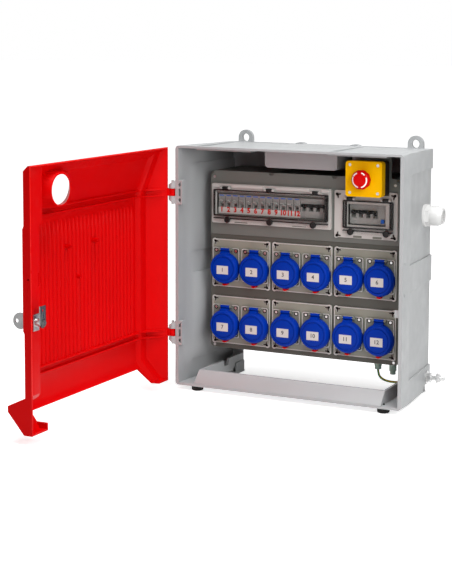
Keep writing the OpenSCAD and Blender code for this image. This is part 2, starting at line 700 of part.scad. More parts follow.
module rcbo_toggle() color([0.12, 0.12, 0.13]) box_frame() gang(rcbo_x, rcbo_z);
module test_button() color([0.15, 0.35, 0.70]) box_frame()
  translate([rcbo_x + 4.5 * mod_w, 0, 400]) {
    translate([-4.1, dev_y - 2.5, -4.1]) cube([8.2, 6, 8.2]);
    cyl_y(1.8, dev_y + 3, dev_y + 10, 0, 0);
  }

// ---- windows ----
// one ear pair for a cover hinge, round part on the axis, foot on the frame
module cover_ears(x, y, z, yf) for (s = [-1, 1]) ex_x(x + s * 10 - 2.4, x + s * 10 + 2.4)
  difference() {
    union() {
      at2(y, z) circle(3.1);
      at2(y, z - 3.1) square([yf - y + e, 6.2]);
    }
    at2(y, z) circle(1.2);
  }
module knob_hole(x, y0, y1, z) cyl_y(shaft_r + fit_c, y0, y1, x, z);
module window_frames() color([0.60, 0.58, 0.55]) box_frame() {
  difference() {
    ex_y(frame1_y, panel_y) at2(-78, 421.5) rr(304, 93, 4);
    translate([-219.5, frame1_y - 1, cov1_z0 + 14]) cube([283, frame1_t + 2, 57]);
    for (p = knobs) if (p[2] == 1) knob_hole(p[0], frame1_y - 1, panel_y + 1, p[1]);
  }
  for (x = [-193, -80, 36]) cover_ears(x, frame1_y - seat_c - 3.4, cov1_z1 + 3.5, frame1_y);
  difference() {
    ex_y(frame2_y, panel_y) at2(157, 413.5) rr(152, 107, 4);
    translate([rcbo_x - 2, frame2_y - 1, rcbo_z - 24]) cube([5 * mod_w + 4, frame2_t + 2, 48]);
    translate([stop_x - stop_w / 2 - 1, frame2_y - 1, stop_z - stop_h / 2 - 1])
      cube([stop_w + 2, frame2_t + 2, 40]);
    for (p = knobs) if (p[2] == 2) knob_hole(p[0], frame2_y - 1, panel_y + 1, p[1]);
  }
  for (x = [cov2_x0 + 18, cov2_x1 - 18])
    cover_ears(x, frame2_y - seat_c - 3.4, cov2_z1 + 3.5, frame2_y);
}
module cover(x0, x1, z0, z1, yf, d, hs, kn) difference() {
  union() {
    difference() {
      ex_y(yf - seat_c - d, yf - seat_c) at2((x0 + x1) / 2, (z0 + z1) / 2) rr(x1 - x0, z1 - z0, 5);
      ex_y(yf - seat_c - d + cov_t, yf) at2((x0 + x1) / 2, (z0 + z1) / 2)
        rr(x1 - x0 - 2 * cov_t, z1 - z0 - 2 * cov_t, 2.5);
    }
    for (x = hs) ex_x(x - 7, x + 7) union() {
      at2(yf - seat_c - 3.4, z1 + 3.5) circle(3.1);
      at2(yf - seat_c - 5.5, z1 - cov_t) square([4.2, 3.5 + cov_t]);
    }
    for (p = knobs) if (p[2] == kn) cyl_y(shaft_r + fit_c + 2, yf - seat_c - d + e,
      yf - seat_c - 1, p[0], p[1]);
  }
  for (x = hs) cyl_x(1.2 + fit_c, x - 8, x + 8, yf - seat_c - 3.4, z1 + 3.5);
  for (p = knobs) if (p[2] == kn) knob_hole(p[0], yf - d - 2, yf + 1, p[1]);
}
module window_cover_a() color([0.80, 0.86, 0.90, 0.4]) box_frame()
  cover(cov1_x0, cov1_x1, cov1_z0, cov1_z1, frame1_y, cov1_d, [-193, -80, 36], 1);
module window_cover_b() color([0.80, 0.86, 0.90, 0.4]) box_frame()
  cover(cov2_x0, cov2_x1, cov2_z0, cov2_z1, frame2_y, cov2_d, [cov2_x0 + 18, cov2_x1 - 18], 2);
// knob with a shaft through its cover; a crossbar behind the frame is left out
module cknob(i) color([0.78, 0.78, 0.77]) box_frame() {
  f = knobs[i][2] == 1 ? frame1_y - seat_c - cov1_d : frame2_y - seat_c - cov2_d;
  g = knobs[i][2] == 1 ? cov1_d + 3 : cov2_d + 2;
  translate([knobs[i][0], 0, knobs[i][1]]) {
    difference() {
      cyl_y(knob_r, f - seat_c - 3.8, f - seat_c, 0, 0);
      translate([-knob_r + 1.5, f - seat_c - 5, -1]) cube([2 * knob_r - 3, 2.6, 2]);
    }
    cyl_y(shaft_r, f - seat_c - e, f + g, 0, 0);
  }
}
module cover_knob_1() cknob(0);
module cover_knob_2() cknob(1);
module cover_knob_3() cknob(2);
module cover_knob_4() cknob(3);
module cover_knob_5() cknob(4);

// ---- stop button ----
stop_mid = panel_y - stop_base_d;
module stop_corner(y0, y1, r) for (a = [-33, 33], b = [-31, 31])
  cyl_y(r, y0, y1, stop_x + a, stop_z + b);
module stop_base() color([0.25, 0.26, 0.27]) box_frame() difference() {
  union() {
    difference() {
      ex_y(stop_mid, panel_y) at2(stop_x, stop_z) rr(stop_w - 2, stop_h - 2, 6);
      ex_y(stop_mid - 1, panel_y - 3) at2(stop_x, stop_z) rr(stop_w - 8, stop_h - 8, 3);
    }
    stop_corner(stop_mid, panel_y - 2, 5);
    cyl_y(stem_r + fit_c + 3, stop_mid + 12, panel_y - 2, stop_x, stop_z);
  }
  stop_corner(stop_mid - 1, panel_y - 6, 1.8);
  cyl_y(stem_r + fit_c, stop_mid + 11, panel_y - 3, stop_x, stop_z);
}
module stop_cover() color([0.95, 0.78, 0.10]) box_frame() difference() {
  union() {
    difference() {
      ex_y(stop_y0, stop_mid) at2(stop_x, stop_z) rr(stop_w, stop_h, 7);
      ex_y(stop_y0 + 3, stop_mid + 1) at2(stop_x, stop_z) rr(stop_w - 7, stop_h - 7, 4);
    }
    stop_corner(stop_y0 + 2, stop_mid, 5.4);
    cyl_y(stem_r + fit_c + 4, stop_y0 + 2, stop_y0 + 13, stop_x, stop_z);
  }
  cyl_y(stem_r + fit_c, stop_y0 - 1, stop_mid + 1, stop_x, stop_z);
  stop_corner(stop_y0 - 1, stop_mid + 1, 1.8);
  stop_corner(stop_y0 - 1, stop_y0 + 2.5, 3.6);
}
module stop_stem() color([0.30, 0.30, 0.31]) box_frame() {
  cyl_y(stem_r, stop_y0 - 14, panel_y - 9, stop_x, stop_z);
  cyl_y(stem_r + 3, stop_y0 + 13.4, stop_y0 + 16, stop_x, stop_z);
}
module stop_button() color([0.80, 0.10, 0.09]) box_frame() translate([stop_x, stop_y0, stop_z])
  rotate([90, 0, 0]) rotate_extrude() polygon([[0, 14.4], [stem_r + fit_c, 14.4],
    [stem_r + fit_c, 6.2], [stem_r + 6, 6.2], [mush_r - 2, 9], [mush_r, 12], [mush_r, 14.5],
    [mush_r - 1.5, 18], [mush_r - 5, 21.5], [mush_r - 11, 24], [0, 25]]);

// ---- cable entries ----
module side_gland() color([0.90, 0.90, 0.88]) wall_frame(gland_y, gland_z, recess_t) {
  difference() {
    union() {
      translate([0, 0, -wall_t - 14]) cylinder(r = gland_r, h = wall_t + 14 + e);
      cylinder(r = gland_fl, h = 5);
      translate([0, 0, 5 - e]) cylinder(r = gland_fl - 1, h = 9, $fn = 6);
      translate([0, 0, 14 - 2 * e]) cylinder(r = gland_r + 1.5, h = 4);
      translate([0, 0, 18 - 3 * e]) rotate_extrude() polygon([[0, 0], [gland_fl - 3, 0],
        [gland_fl - 3, 14], [gland_fl - 5, 20], [gland_fl - 9, 25], [gland_r - 2, 27], [0, 27]]);
    }
    translate([0, 0, -wall_t - 15]) cylinder(r = gland_bore, h = 80);
  }
  translate([0, 0, -wall_t - 6.2]) difference() {
    cylinder(r = gland_fl + 1, h = 6, $fn = 6);
    translate([0, 0, -1]) cylinder(r = gland_r + 0.15, h = 9);
  }
}
module gland_at(x, zb, r, step) difference() {
  translate([x, 150, 0]) {
    translate([0, 0, zb]) cylinder(r = r - step, h = 8 + e);
    translate([0, 0, zb + 8]) cylinder(r = r, h = box_z0 - zb - 8 - 4);
    translate([0, 0, box_z0 - 4 - e]) cylinder(r = r + 2, h = 4 + e, $fn = 6);
    translate([0, 0, box_z0 - e]) cylinder(r = 6, h = box_t + 6);
    translate([0, 0, box_z0 + box_t]) cylinder(r = 9.5, h = 4, $fn = 6);
  }
  translate([x, 150, zb - 1]) cylinder(r = wire_r + 0.4, h = 60);
}
module bottom_glands() color([0.62, 0.76, 0.66]) box_frame() {
  gland_at(168, 53, 8.5, 0.8);
  gland_at(204, 44, 8.5, 2);
}
module earth_stud() color([0.72, 0.73, 0.74]) wall_frame(stud_y, stud_z, 0) {
  translate([0, 0, -wall_t - 15]) cylinder(r = stud_r, h = wall_t + 15 + 44);
  difference() {
    union() {
      cylinder(r = washer_r, h = 2.5);
      translate([0, 0, 2.5]) cylinder(r = 10, h = 7, $fn = 6);
      translate([0, 0, 9.5]) cylinder(r = 12, h = 2);
      translate([0, 0, 24]) cylinder(r = 12, h = 2);
      translate([0, 0, 26]) cylinder(r = 10, h = 7, $fn = 6);
      translate([0, 0, -wall_t - 2]) cylinder(r = 9, h = 2);
      translate([0, 0, -wall_t - 9]) cylinder(r = 9, h = 7, $fn = 6);
    }
    translate([0, 0, -wall_t - 16]) cylinder(r = stud_r - e, h = 80);
  }
  // crimped ring of the earth wire
  difference() {
    union() {
      translate([-4, -19, -wall_t - 2]) cube([8, 13, 2]);
      translate([0, -11, -wall_t - 4]) rotate([90, 0, 0]) cylinder(r = wire_r + 1.6, h = 14);
    }
    translate([0, -12, -wall_t - 4]) rotate([90, 0, 0]) cylinder(r = wire_r + 0.15, h = 14);
    translate([0, 0, -wall_t - 10]) cylinder(r = 9 - e, h = 12);
  }
}
// swept tube along rounded route points
function unit(v) = v / norm(v);
function tan_at(p, i) = i == 0 ? unit(p[1] - p[0]) : i == len(p) - 1 ? unit(p[i] - p[i - 1])
  : unit(unit(p[i + 1] - p[i]) + unit(p[i] - p[i - 1]));
module sweep(p, r, n) {
  m = len(p);
  pts = [for (i = [0:m - 1]) let (t = tan_at(p, i), a = unit(cross(t, [0.62, -0.78, 0.05])),
    b = cross(t, a)) for (j = [0:n - 1]) p[i] + r * (cos(360 * j / n) * a + sin(360 * j / n) * b)];
  polyhedron(pts, concat([[for (j = [0:n - 1]) j]],
    [for (i = [0:m - 2], j = [0:n - 1]) [i * n + j, (i + 1) * n + j, (i + 1) * n + (j + 1) % n,
      i * n + (j + 1) % n]], [[for (j = [0:n - 1]) m * n - 1 - j]]));
}
module earth_wire() color([0.45, 0.70, 0.15]) box_frame() sweep(wire_pts, wire_r, 10);

// ---- fixings ----
module screw(x, y, z, rh, rs, l) {
  difference() {
    cyl_y(rh, y - 1.6, y, x, z);
    translate([x - rh + 0.8, y - 2, z - 0.5]) cube([2 * rh - 1.6, 1.2, 1]);
  }
  cyl_y(rs, y - e, y + l, x, z);
}
module screws() color([0.72, 0.73, 0.74]) box_frame() {
  for (n = [0:11], a = [-1, 1], b = [-1, 1])
    screw(sock_x(n) + a * flange_sx, panel_y - flange_t + 1.65, sock_z(n) + flange_up + b * flange_sz,
      3, 1.6, flange_t - 1.65);
  for (a = [-33, 33], b = [-31, 31])
    screw(stop_x + a, stop_y0 + 2.5, stop_z + b, 3.4, 1.8, stop_cov_d + 16);
  for (x = [-226, 226]) {
    screw(x, box_y0, box_z0 + 6, 3, 1.5, 0);
    screw(x, panel_y, box_z1 - 14, 3, 1.5, 0);
  }
}
module pin_at(z) box_frame() translate([hinge_x, hinge_y, z - hinge_half]) cylinder(r = pin_r,
  h = 2 * hinge_half);
module hinge_pins() color([0.60, 0.61, 0.62]) {
  pin_at(knuckle_hi);
  pin_at(knuckle_lo);
  box_frame() {
    for (n = [0:11]) cyl_x(lid_pr, sock_x(n) - 17, sock_x(n) + 17, lid_ay, sock_z(n) + lid_hz);
    for (x = [-193, -80, 36])
      cyl_x(1.2, x - 12.4, x + 12.4, frame1_y - seat_c - 3.4, cov1_z1 + 3.5);
    for (x = [cov2_x0 + 18, cov2_x1 - 18])
      cyl_x(1.2, x - 12.4, x + 12.4, frame2_y - seat_c - 3.4, cov2_z1 + 3.5);
  }
}

// ---- door, drawn closed: u from its hinge edge, n outwards from the rim plane ----
module dz(z0, z1) mirror([0, 1, 0]) translate([door_x0, 0, z0]) linear_extrude(z1 - z0) children();
module dx(u0, u1) mirror([0, 1, 0]) translate([door_x0 + u0, 0, 0]) rotate([90, 0, 90])
  linear_extrude(u1 - u0) children();
module dn(n0, n1) mirror([0, 1, 0]) translate([door_x0, n1, 0]) rotate([90, 0, 0])
  linear_extrude(n1 - n0) children();
module dcyl(r, n0, n1, u, z) cyl_y(r, -n1, -n0, door_x0 + u, z);
// outline of the free side in plan: w is the width of the strip, w + slope_w where the floor ends
function free_side(w) = [[body_w - w - slope_w, floor_n], [body_w - w, strip_n], [body_w - w, -1]];
// outer and inner outlines of the foot, n against z
foot_out = [[door_gap, door_z0], [21, door_z0], [door_d, 54], [door_d, 66]];
foot_in = [[-1, door_z0 + door_t], [19.5, door_z0 + door_t], [48, 50]];
module door_outer() {
  intersection() {
    dz(door_z0, door_z1) polygon([[0, door_gap], [0, 3], [38, door_d], [body_w - 78, door_d],
      [body_w - 12, edge_d + 3], [body_w, edge_d], [body_w, door_gap]]);
    dx(0, body_w) polygon(concat(foot_out, [[mid_d, 80], [mid_d, door_z1 - 109],
      [31.8, door_z1 - 24.5], [6, door_z1], [door_gap, door_z1]]));
  }
  // the foot keeps its depth out to the free edge, and the grip is a little thicker
  dx(body_w - 82, body_w) polygon(concat(foot_out, [[edge_d, 86], [door_gap, 86]]));
  dx(body_w - 24, body_w) polygon([[12, lock_z - 33], [edge_d + 3, lock_z - 16],
    [edge_d + 3, 429], [12, 446]]);
}
module door_inner() {
  // beside the hinge slope the ledge is less deep than the floor
  intersection() {
    dz(door_z0, door_z1) polygon([[door_t - lean, -1], [door_t + lean * floor_n, floor_n],
      [body_w / 2, floor_n], [body_w / 2, -1]]);
    dx(0, body_w) polygon([[-1, door_z0 + door_t], [12.3, door_z0 + door_t], [ledge_n, 63.7],
      [ledge_n, door_z1 - 106.3], [14.6, door_z1 - 12.5], [4.6, door_z1 - door_t],
      [-1, door_z1 - door_t]]);
  }
  intersection() {
    union() {
      dz(door_z0, strip_z + e) polygon(concat([[door_t + ledge_w - lean, -1],
        [door_t + ledge_w + lean * floor_n, floor_n]], free_side(strip_lo)));
      dz(strip_z, door_z1) polygon(concat([[door_t + ledge_w - lean, -1],
        [door_t + ledge_w + lean * floor_n, floor_n]], free_side(strip_hi)));
    }
    dx(0, body_w) polygon(concat(foot_in, [[floor_n, 62], [floor_n, door_z1 - 106],
      [27.6, door_z1 - 24], [4.6, door_z1 - door_t], [-1, door_z1 - door_t]]));
  }
  dx(body_w - 90, body_w - door_t) polygon(concat(foot_in, [[50, 57], [50, 62], [13, 82],
    [strip_n, 91], [-1, 91]]));
  dz(91 - e, door_z1 - door_t) polygon([[body_w - 90, -1], [body_w - door_t, -1],
    [body_w - door_t, strip_n], [body_w - 90, strip_n]]);
}
module scoop(g) hull() {
  dcyl(hole_r + g, -1, 2, stop_u, stop_z);
  for (u = [5 - scoop_l, 3]) dcyl(scoop_r + g, door_d, door_d + 1, stop_u + u, stop_z + 2);
}
module rib(z) dz(z, z + rib_t) polygon([[door_t, door_gap], [46, 36], [62, 43],
  [body_w - 70, 43], [body_w - 70, floor_n + 2], [36, floor_n + 2], [door_t, 8]]);
module flute(u) translate([door_x0 + u, -floor_n - flute_r + flute_h, 0]) {
  translate([0, 0, flute_z[0]]) cylinder(r = flute_r, h = flute_z[1] - flute_z[0]);
  translate([0, 0, flute_z[1] - e]) cylinder(r1 = flute_r, r2 = 2.6, h = flute_z[2] - flute_z[1]);
}
bosses = [[250, 368, 34.5], [360, 368, 34.5], [309, 296, 43]];
module door() color([0.72, 0.08, 0.10]) door_frame() difference() {
  union() {
    difference() {
      door_outer();
      door_inner();
    }
    intersection() {
      door_outer();
      union() {
        difference() {
          scoop(3.5);
          dn(-5, strip_n - 3) at2(0, 0) square(body_w);
        }
        for (z = rib_z) rib(z);
        for (i = [0:flute_n - 1]) flute(flute_u + i * flute_p);
        for (p = bosses) dcyl(5, p[2], floor_n + 2, p[0], p[1]);
        dx(toe_u, toe_u + door_t) at2(door_gap, door_z0) square([door_d, toe_h - door_z0]);
      }
    }
    for (z = [knuckle_hi, knuckle_lo]) ex_z(z - knuckle_half, z + knuckle_half) {
      at2(hinge_x, hinge_y) circle(8);
      polygon([[hinge_x - 8, hinge_y], [hinge_x - 4, -9], [door_x0 + 4.5, -9],
        [door_x0 + 4.5, -1.5], [door_x0 - 2.2, -0.8], [hinge_x + 6.6, hinge_y - 4]]);
    }
  }
  scoop(0);
  // the middle of the door ends over the cable opening
  dz(0, cut_z) polygon([[41, -5], [47, 22], [62, 47], [66, 61], [66, door_d + 5],
    [toe_u, door_d + 5], [toe_u, -5]]);
  for (z = [knuckle_hi, knuckle_lo]) translate([hinge_x, hinge_y, z - 20])
    cylinder(r = pin_r + fit_c, h = 40);
  // lock seat, latch notch and the small hole in the free edge
  dcyl(barrel_r + 0.1, -3, edge_d + 30, lock_u, lock_z);
  dn(out_n, door_d) at2(lock_u - bow_r - 3, lock_z - bow_r - 3) square([33, 2 * bow_r + 6]);
  for (p = bosses) dcyl(1.8, 10, floor_n, p[0], p[1]);
  dn(-2, 8) at2(body_w - strip_lo - 2, 309) square([7, 29]);
  cyl_x(2.3, body_w / 2 - 10, body_w / 2 + 1, -7.5, 328);
}
module lock_body() color([0.70, 0.71, 0.72]) door_frame() difference() {
  union() {
    dn(strip_n - 2.5, strip_n) at2(lock_u, lock_z) square([20, 34], center = true);
    dcyl(barrel_r, -11, out_n + e, lock_u, lock_z);
    dcyl(barrel_r + 3, out_n, out_n + 2.5, lock_u, lock_z);
  }
  dcyl(plug_r + fit_c, -12, out_n + 4, lock_u, lock_z);
}
// plug, cam, nut and key turn together
module lock_cam() color([0.80, 0.66, 0.34]) door_frame() {
  difference() {
    dcyl(plug_r, -11.4, out_n + 4, lock_u, lock_z);
    dn(out_n - 8, out_n + 5) at2(lock_u, lock_z) square([1.4, 8.4], center = true);
  }
  difference() {
    dn(-13.9, -11.4) {
      at2(lock_u, lock_z) circle(cam_w / 2);
      at2(lock_u - cam_w / 2, lock_z) square([cam_w, cam_l]);
    }
    dcyl(3, -15, -10, lock_u, lock_z + cam_l - 9);
  }
  hex_y(12, 13.9, 17.5, door_x0 + lock_u, lock_z);
  dn(out_n - 7.5, out_n + 11) at2(lock_u, lock_z) square([1.3, 8.2], center = true);
  mirror([0, 1, 0]) translate([door_x0 + lock_u - 1.3, out_n + 9 + bow_r, lock_z])
    rotate([0, 90, 0]) difference() {
      cylinder(r = bow_r, h = 2.6);
      translate([0, bow_r - 9, -1]) cylinder(r = 4, h = 5);
    }
}

housing();
rubber_feet();
lock_keeper();
panel_box();
upper_plate();
socket_plates();
socket_bodies();
socket_contacts();
lid_catches();
window_frames();
din_rails();
breaker_bodies();
rcbo_body();
stop_base();
stop_cover();
side_gland();
bottom_glands();
earth_stud();
earth_wire();
screws();
hinge_pins();
door();
lock_body();
lock_cam();
socket_lid_01();
socket_lid_02();
socket_lid_03();
socket_lid_04();
socket_lid_05();
socket_lid_06();
socket_lid_07();
socket_lid_08();
socket_lid_09();
socket_lid_10();
socket_lid_11();
socket_lid_12();
breaker_toggle_01();
breaker_toggle_02();
breaker_toggle_03();
breaker_toggle_04();
breaker_toggle_05();
breaker_toggle_06();
breaker_toggle_07();
breaker_toggle_08();
breaker_toggle_09();
breaker_toggle_10();
breaker_toggle_11();
breaker_toggle_12();
main_toggle();
rcbo_toggle();
test_button();
stop_stem();
stop_button();
window_cover_a();
window_cover_b();
cover_knob_1();
cover_knob_2();
cover_knob_3();
cover_knob_4();
cover_knob_5();
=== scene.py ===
"""Portable power distribution box: looks, materials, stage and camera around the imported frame.

Lengths in the shape functions are millimetres in the cabinet's own frame (front rim plane y = 0,
underside z = 0); place() turns them into metres in the row frame."""

import math

import bmesh
import bpy
import numpy as np
from mathutils import Matrix, Vector


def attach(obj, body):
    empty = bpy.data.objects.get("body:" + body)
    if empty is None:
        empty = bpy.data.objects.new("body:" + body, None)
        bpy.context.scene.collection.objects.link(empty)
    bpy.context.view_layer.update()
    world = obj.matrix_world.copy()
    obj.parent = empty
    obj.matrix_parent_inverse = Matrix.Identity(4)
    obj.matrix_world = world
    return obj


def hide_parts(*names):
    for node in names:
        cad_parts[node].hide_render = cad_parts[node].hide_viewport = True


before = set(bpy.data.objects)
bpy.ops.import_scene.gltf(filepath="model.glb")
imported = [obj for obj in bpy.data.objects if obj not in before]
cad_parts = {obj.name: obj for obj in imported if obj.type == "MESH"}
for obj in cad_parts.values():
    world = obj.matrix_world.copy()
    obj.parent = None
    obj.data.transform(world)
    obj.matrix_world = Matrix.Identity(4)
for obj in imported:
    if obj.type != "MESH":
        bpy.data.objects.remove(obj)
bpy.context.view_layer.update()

bl_info = {
    "name": "Power box",
    "version": (1, 0, 0),
    "blender": (4, 5, 0),
    "location": "View3D > Sidebar > Power box",
    "description": "Builds a portable power distribution box around its solid model",
    "category": "Add Mesh",
}

# ---- places and sizes that the solid model fixes, in millimetres --------------------------------
FRONT_Y, BASE_Z = -125.0, 12.0
HINGE = (-290.0, 5.0)
DOOR_W, DOOR_TOP, DOOR_RIM_LOW = 560.0, 556.0, 92.0
PANEL_Y = 94.0
PLATE_W, PLATE_H, PLATE_PITCH = 151.0, 113.0, 156.0
PLATE_FIX_X, PLATE_FIX_Z = 66.7, 50.5
ROWS = (223.7, 88.4)
SOCKET_PITCH, SOCKET_DZ = 75.5, 45.3
FLANGE_Y, FLANGE_W, FLANGE_H, FLANGE_UP = 90.0, 70.0, 78.0, 9.0
FLANGE_SX, FLANGE_SZ = 25.5, 32.0
LID_Y, LID_D, LID_R, LID_RIM, LID_HINGE_Y, LID_HINGE_Z = 72.7, 17.0, 36.3, 7.0, 85.6, 44.0
MODULE, ROW_X, ROW_Z, DEVICE_Y = 17.6, -218.8, 420.0, 100.0
SINGLES, POLES = 12, 4
RCBO_X, RCBO_Z = 115.0, 413.5
NUMBER_Z, NUMBER_SIZE = 405.5, 16.0
STRIP_Z, STRIP_H = 402.5, 17.0
MARK_Z, JOINT_Z, JOINT_H = 439.0, 424.0, 26.0
DEVICE_LABELS = ((22.5, 405.5, 37.0, 15.0), (149.0, 397.5, 62.0, 12.0))  # x, z, width, height
LEVER_PIVOT, LEVER_TIP = 6.0, 35.0  # depth of the switch axis, degrees the lever tips up
# cover knobs as x, z and window
KNOBS = ((-185.0, 384.5, 1), (-76.0, 384.5, 1), (33.0, 384.5, 1), (123.0, 374.5, 2), (209.0, 374.5, 2))
KNOB_FRONT = {1: 75.9, 2: 79.9}
# window frame A as x0, x1, z0, z1 and front face; frame B's front, middle and corner fixings
FRAME_A, FRAME_A_Y = (-230.0, 74.0, 375.0, 468.0), 88.0
FRAME_B_Y, FRAME_B_MID = 90.5, (157.0, 413.0)
FRAME_B_CORNERS = ((89.0, 457.0), (225.0, 459.0), (89.0, 365.0), (225.0, 366.0))
BARS, BAR_Z, BAR_H = ((-226.0, -208.0), (-178.0, -95.0), (-65.0, 21.0), (51.0, 70.0)), 462.6, 7.4
# grip notches: their height, then x0, x1, z and front face; each is a flat patch of the darker flange
# colour, painted shade for the notch
NOTCH_H = 5.0
NOTCHES = ((-171.0, -137.0, 377.0, FRAME_A_Y), (-23.0, 12.0, 376.5, FRAME_A_Y),
           (127.0, 148.0, 363.5, FRAME_B_Y), (174.0, 196.0, 363.5, FRAME_B_Y))
# clear covers as x0, x1, z0, z1, front face and depth, and the x of their hinge clips
COVERS = {1: (-224.0, 68.0, 379.0, 455.0, 79.7, 8.0), 2: (102.0, 224.0, 369.0, 446.0, 83.7, 6.5)}
COVER_HINGES = {1: (-193.0, -80.0, 36.0), 2: (120.0, 206.0)}
STOP_X, STOP_Y, STOP_Z = 169.0, 45.0, 499.0
DOME_TOP, DOME_RIM = 14.0, 21.8  # radii where the mushroom's dome begins and ends
TURN_MARKS = ((112, 40), (44, 32), (158, 100), (284, 98))  # start and sweep in degrees
WIRE_R = 2.6
WIRE_ROUTE = ((168, 150, 64), (168, 150, 55), (168.8, 149.6, 46), (173, 148, 36.5), (183, 147, 30),
              (196, 147.6, 27), (210, 150.5, 26), (223, 155.5, 26), (235, 162.5, 26.6),
              (245.5, 171, 27.5), (252.2, 181, 28.4), (254.12, 191, 28.5), (253.33, 200, 28.5))
BEVEL_ANGLE = 32.0  # degrees; sharper edges are rounded

# ---- stage: lamps as name, place, size in metres and watts; floor glow; camera -------------------
LAMPS = (("top_lamp", (0.3, -0.6, 3.2), 2.0, 104.0), ("side_lamp", (1.2, -1.0, 1.0), 0.8, 15.0),
         ("front_lamp", (0.5, -2.6, 2.4), 1.4, 12.0))
LAMP_AIM, WORLD_LIGHT = (0.0, -0.1, 0.3), 0.03
FLOOR_HALF, GLOW_SPAN, GLOW = 30.0, (0.9, 2.4), (0.72, 1.0)
CAMERA_AT, CAMERA_TURN = (1.41181, -3.17905, 0.83783), (0.458036, 0.09535, -0.003683)
CAMERA_LENS, CAMERA_SHIFT = 93.5286, (-0.036944, -0.200342)


def linear(red, green, blue):
    """Screen colour 0 to 255 as the linear values that shaders use."""
    c = np.array((red, green, blue)) / 255.0
    return tuple(np.where(c <= 0.04045, c / 12.92, ((c + 0.055) / 1.055) ** 2.4))


def colour(name, words, rgb):
    """A colour property with its name, what it is for and its default."""
    return bpy.props.FloatVectorProperty(name=name, description=words, subtype="COLOR",
                                         size=3, min=0, max=1, default=linear(*rgb))


def length(name, words, mm, top=20.0):
    """A length property in metres from a default in millimetres."""
    return bpy.props.FloatProperty(name=name, description=words, default=mm / 1000, min=0,
                                   max=top / 1000, unit="LENGTH", precision=4)


class PowerBoxColours(bpy.types.PropertyGroup):
    """Colours of the mouldings, as they look under plain light."""
    cabinet: colour("Cabinet", "Light grey moulding of the cabinet", (168, 170, 171))
    door: colour("Door", "Red moulding of the door", (208, 1, 3))
    panel: colour("Panel", "Warm grey of the upper plate", (106, 109, 104))
    # The panel box colour is darkened to paint the shade that falls in the gaps between the plates.
    box: colour("Panel box", "Darker body behind the plates", (82, 83, 77))
    plate: colour("Socket plates", "Plates that carry the sockets", (142, 143, 131))
    flange: colour("Socket flange", "Flange behind each lid", (112, 115, 106))
    # Own colour of the light window frames; the same colour is painted on the raised edges of the
    # socket plates, the flanges and the plate slots as their highlight.
    window_frame: colour("Window frame", "Light frames and raised edges", (194, 192, 188))
    lid: colour("Lids", "Blue socket lids", (0, 49, 158))
    device: colour("Devices", "Off-white breaker bodies", (150, 150, 147))
    lever: colour("Levers", "Levers of the single breakers", (158, 158, 155))
    dark: colour("Dark parts", "Knobs, ganged levers and rubber", (11, 11, 11))
    stop_yellow: colour("Stop box", "Yellow cover of the stop box", (255, 193, 0))
    stop_red: colour("Stop button", "Red mushroom and catches", (206, 4, 6))
    gland: colour("Gland", "White cable gland", (210, 210, 209))
    green_gland: colour("Small gland", "Pale green gland under the panel", (176, 205, 190))
    metal: colour("Metal", "Zinc plated steel", (196, 196, 196))
    print_red: colour("Numbers", "Red numbers under the breakers", (214, 34, 20))
    print_blue: colour("Marks", "Blue marks over the breakers and the test button", (24, 96, 196))


class PowerBoxSizes(bpy.types.PropertyGroup):
    """Sizes of the small forms that finish the solids."""
    edge: length("Edge", "Round of moulded edges", 1.0, 4)
    fine_edge: length("Fine edge", "Round of small parts' edges", 0.35, 2)
    label_w: length("Label width", "Width of the plate on a lid", 30.0, 60)
    label_h: length("Label height", "Height of the plate on a lid", 20.0, 60)
    lip: length("Lip", "Width of the raised edge round a plate", 2.2, 6)


# ---- placing and mesh building ------------------------------------------------------------------
def place(points):
    """Millimetres in the cabinet frame to metres in the row frame: add the offset, divide by 1000."""
    return (np.asarray(points, float) + (0.0, FRONT_Y, BASE_Z)) / 1000.0


def on_door(u, n, z):
    """Door coordinates to the cabinet frame with the door at rest: a point u along the door and n
    outwards lies at x = hinge - 5 - n, y = -5 - u, because the door stands square to the cabinet."""
    u, n, z = np.broadcast_arrays(*(np.asarray(v, float) for v in (u, n, z)))
    return np.stack((HINGE[0] - HINGE[1] - n, -HINGE[1] - u, z), -1)


def grid_faces(rows, cols, wrap_rows=False, wrap_cols=False):
    """Quads of a rows x cols grid of points, closed round either way if asked."""
    i = np.arange(rows if wrap_rows else rows - 1)[:, None]
    j = np.arange(cols if wrap_cols else cols - 1)[None, :]
    i2, j2 = (i + 1) % rows, (j + 1) % cols
    corners = i * cols + j, i * cols + j2, i2 * cols + j2, i2 * cols + j
    return np.stack(np.broadcast_arrays(*corners), -1).reshape(-1, 4)


def new_piece(name, shape, body, slot, look, edge=0.0, smooth=35.0, uv=None):
    """A piece from (points, faces) in the cabinet frame: faces turned outward, shaded smooth below
    an angle, and its edges rounded to a width where one is given."""
    points, faces = shape
    mesh = bpy.data.meshes.new(name)
    mesh.from_pydata(place(points).reshape(-1, 3).tolist(), [], [list(map(int, f)) for f in faces])
    if uv is not None:
        layer = mesh.uv_layers.new(name="UVMap")
        index = np.empty(len(mesh.loops), int)
        mesh.loops.foreach_get("vertex_index", index)
        layer.data.foreach_set("uv", np.asarray(uv, float).reshape(-1, 2)[index].ravel())
    bm = bmesh.new()
    bm.from_mesh(mesh)
    bmesh.ops.remove_doubles(bm, verts=bm.verts, dist=2e-6)
    bmesh.ops.recalc_face_normals(bm, faces=bm.faces)
    bm.to_mesh(mesh)
    bm.free()
    piece = finish_piece(name, mesh, body, look, smooth)
    return bevel(piece, edge) if edge else piece


def finish_piece(name, mesh, body, look, smooth=35.0):
    """Links a mesh as a piece: finish, smooth shading below an angle, and its body."""
    mesh.materials.clear()
    mesh.materials.append(finish(look))
    mesh.shade_smooth()
    mesh.set_sharp_from_angle(angle=math.radians(smooth))
    piece = bpy.data.objects.new(name, mesh)
    bpy.context.scene.collection.objects.link(piece)
    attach(piece, body)
    return piece


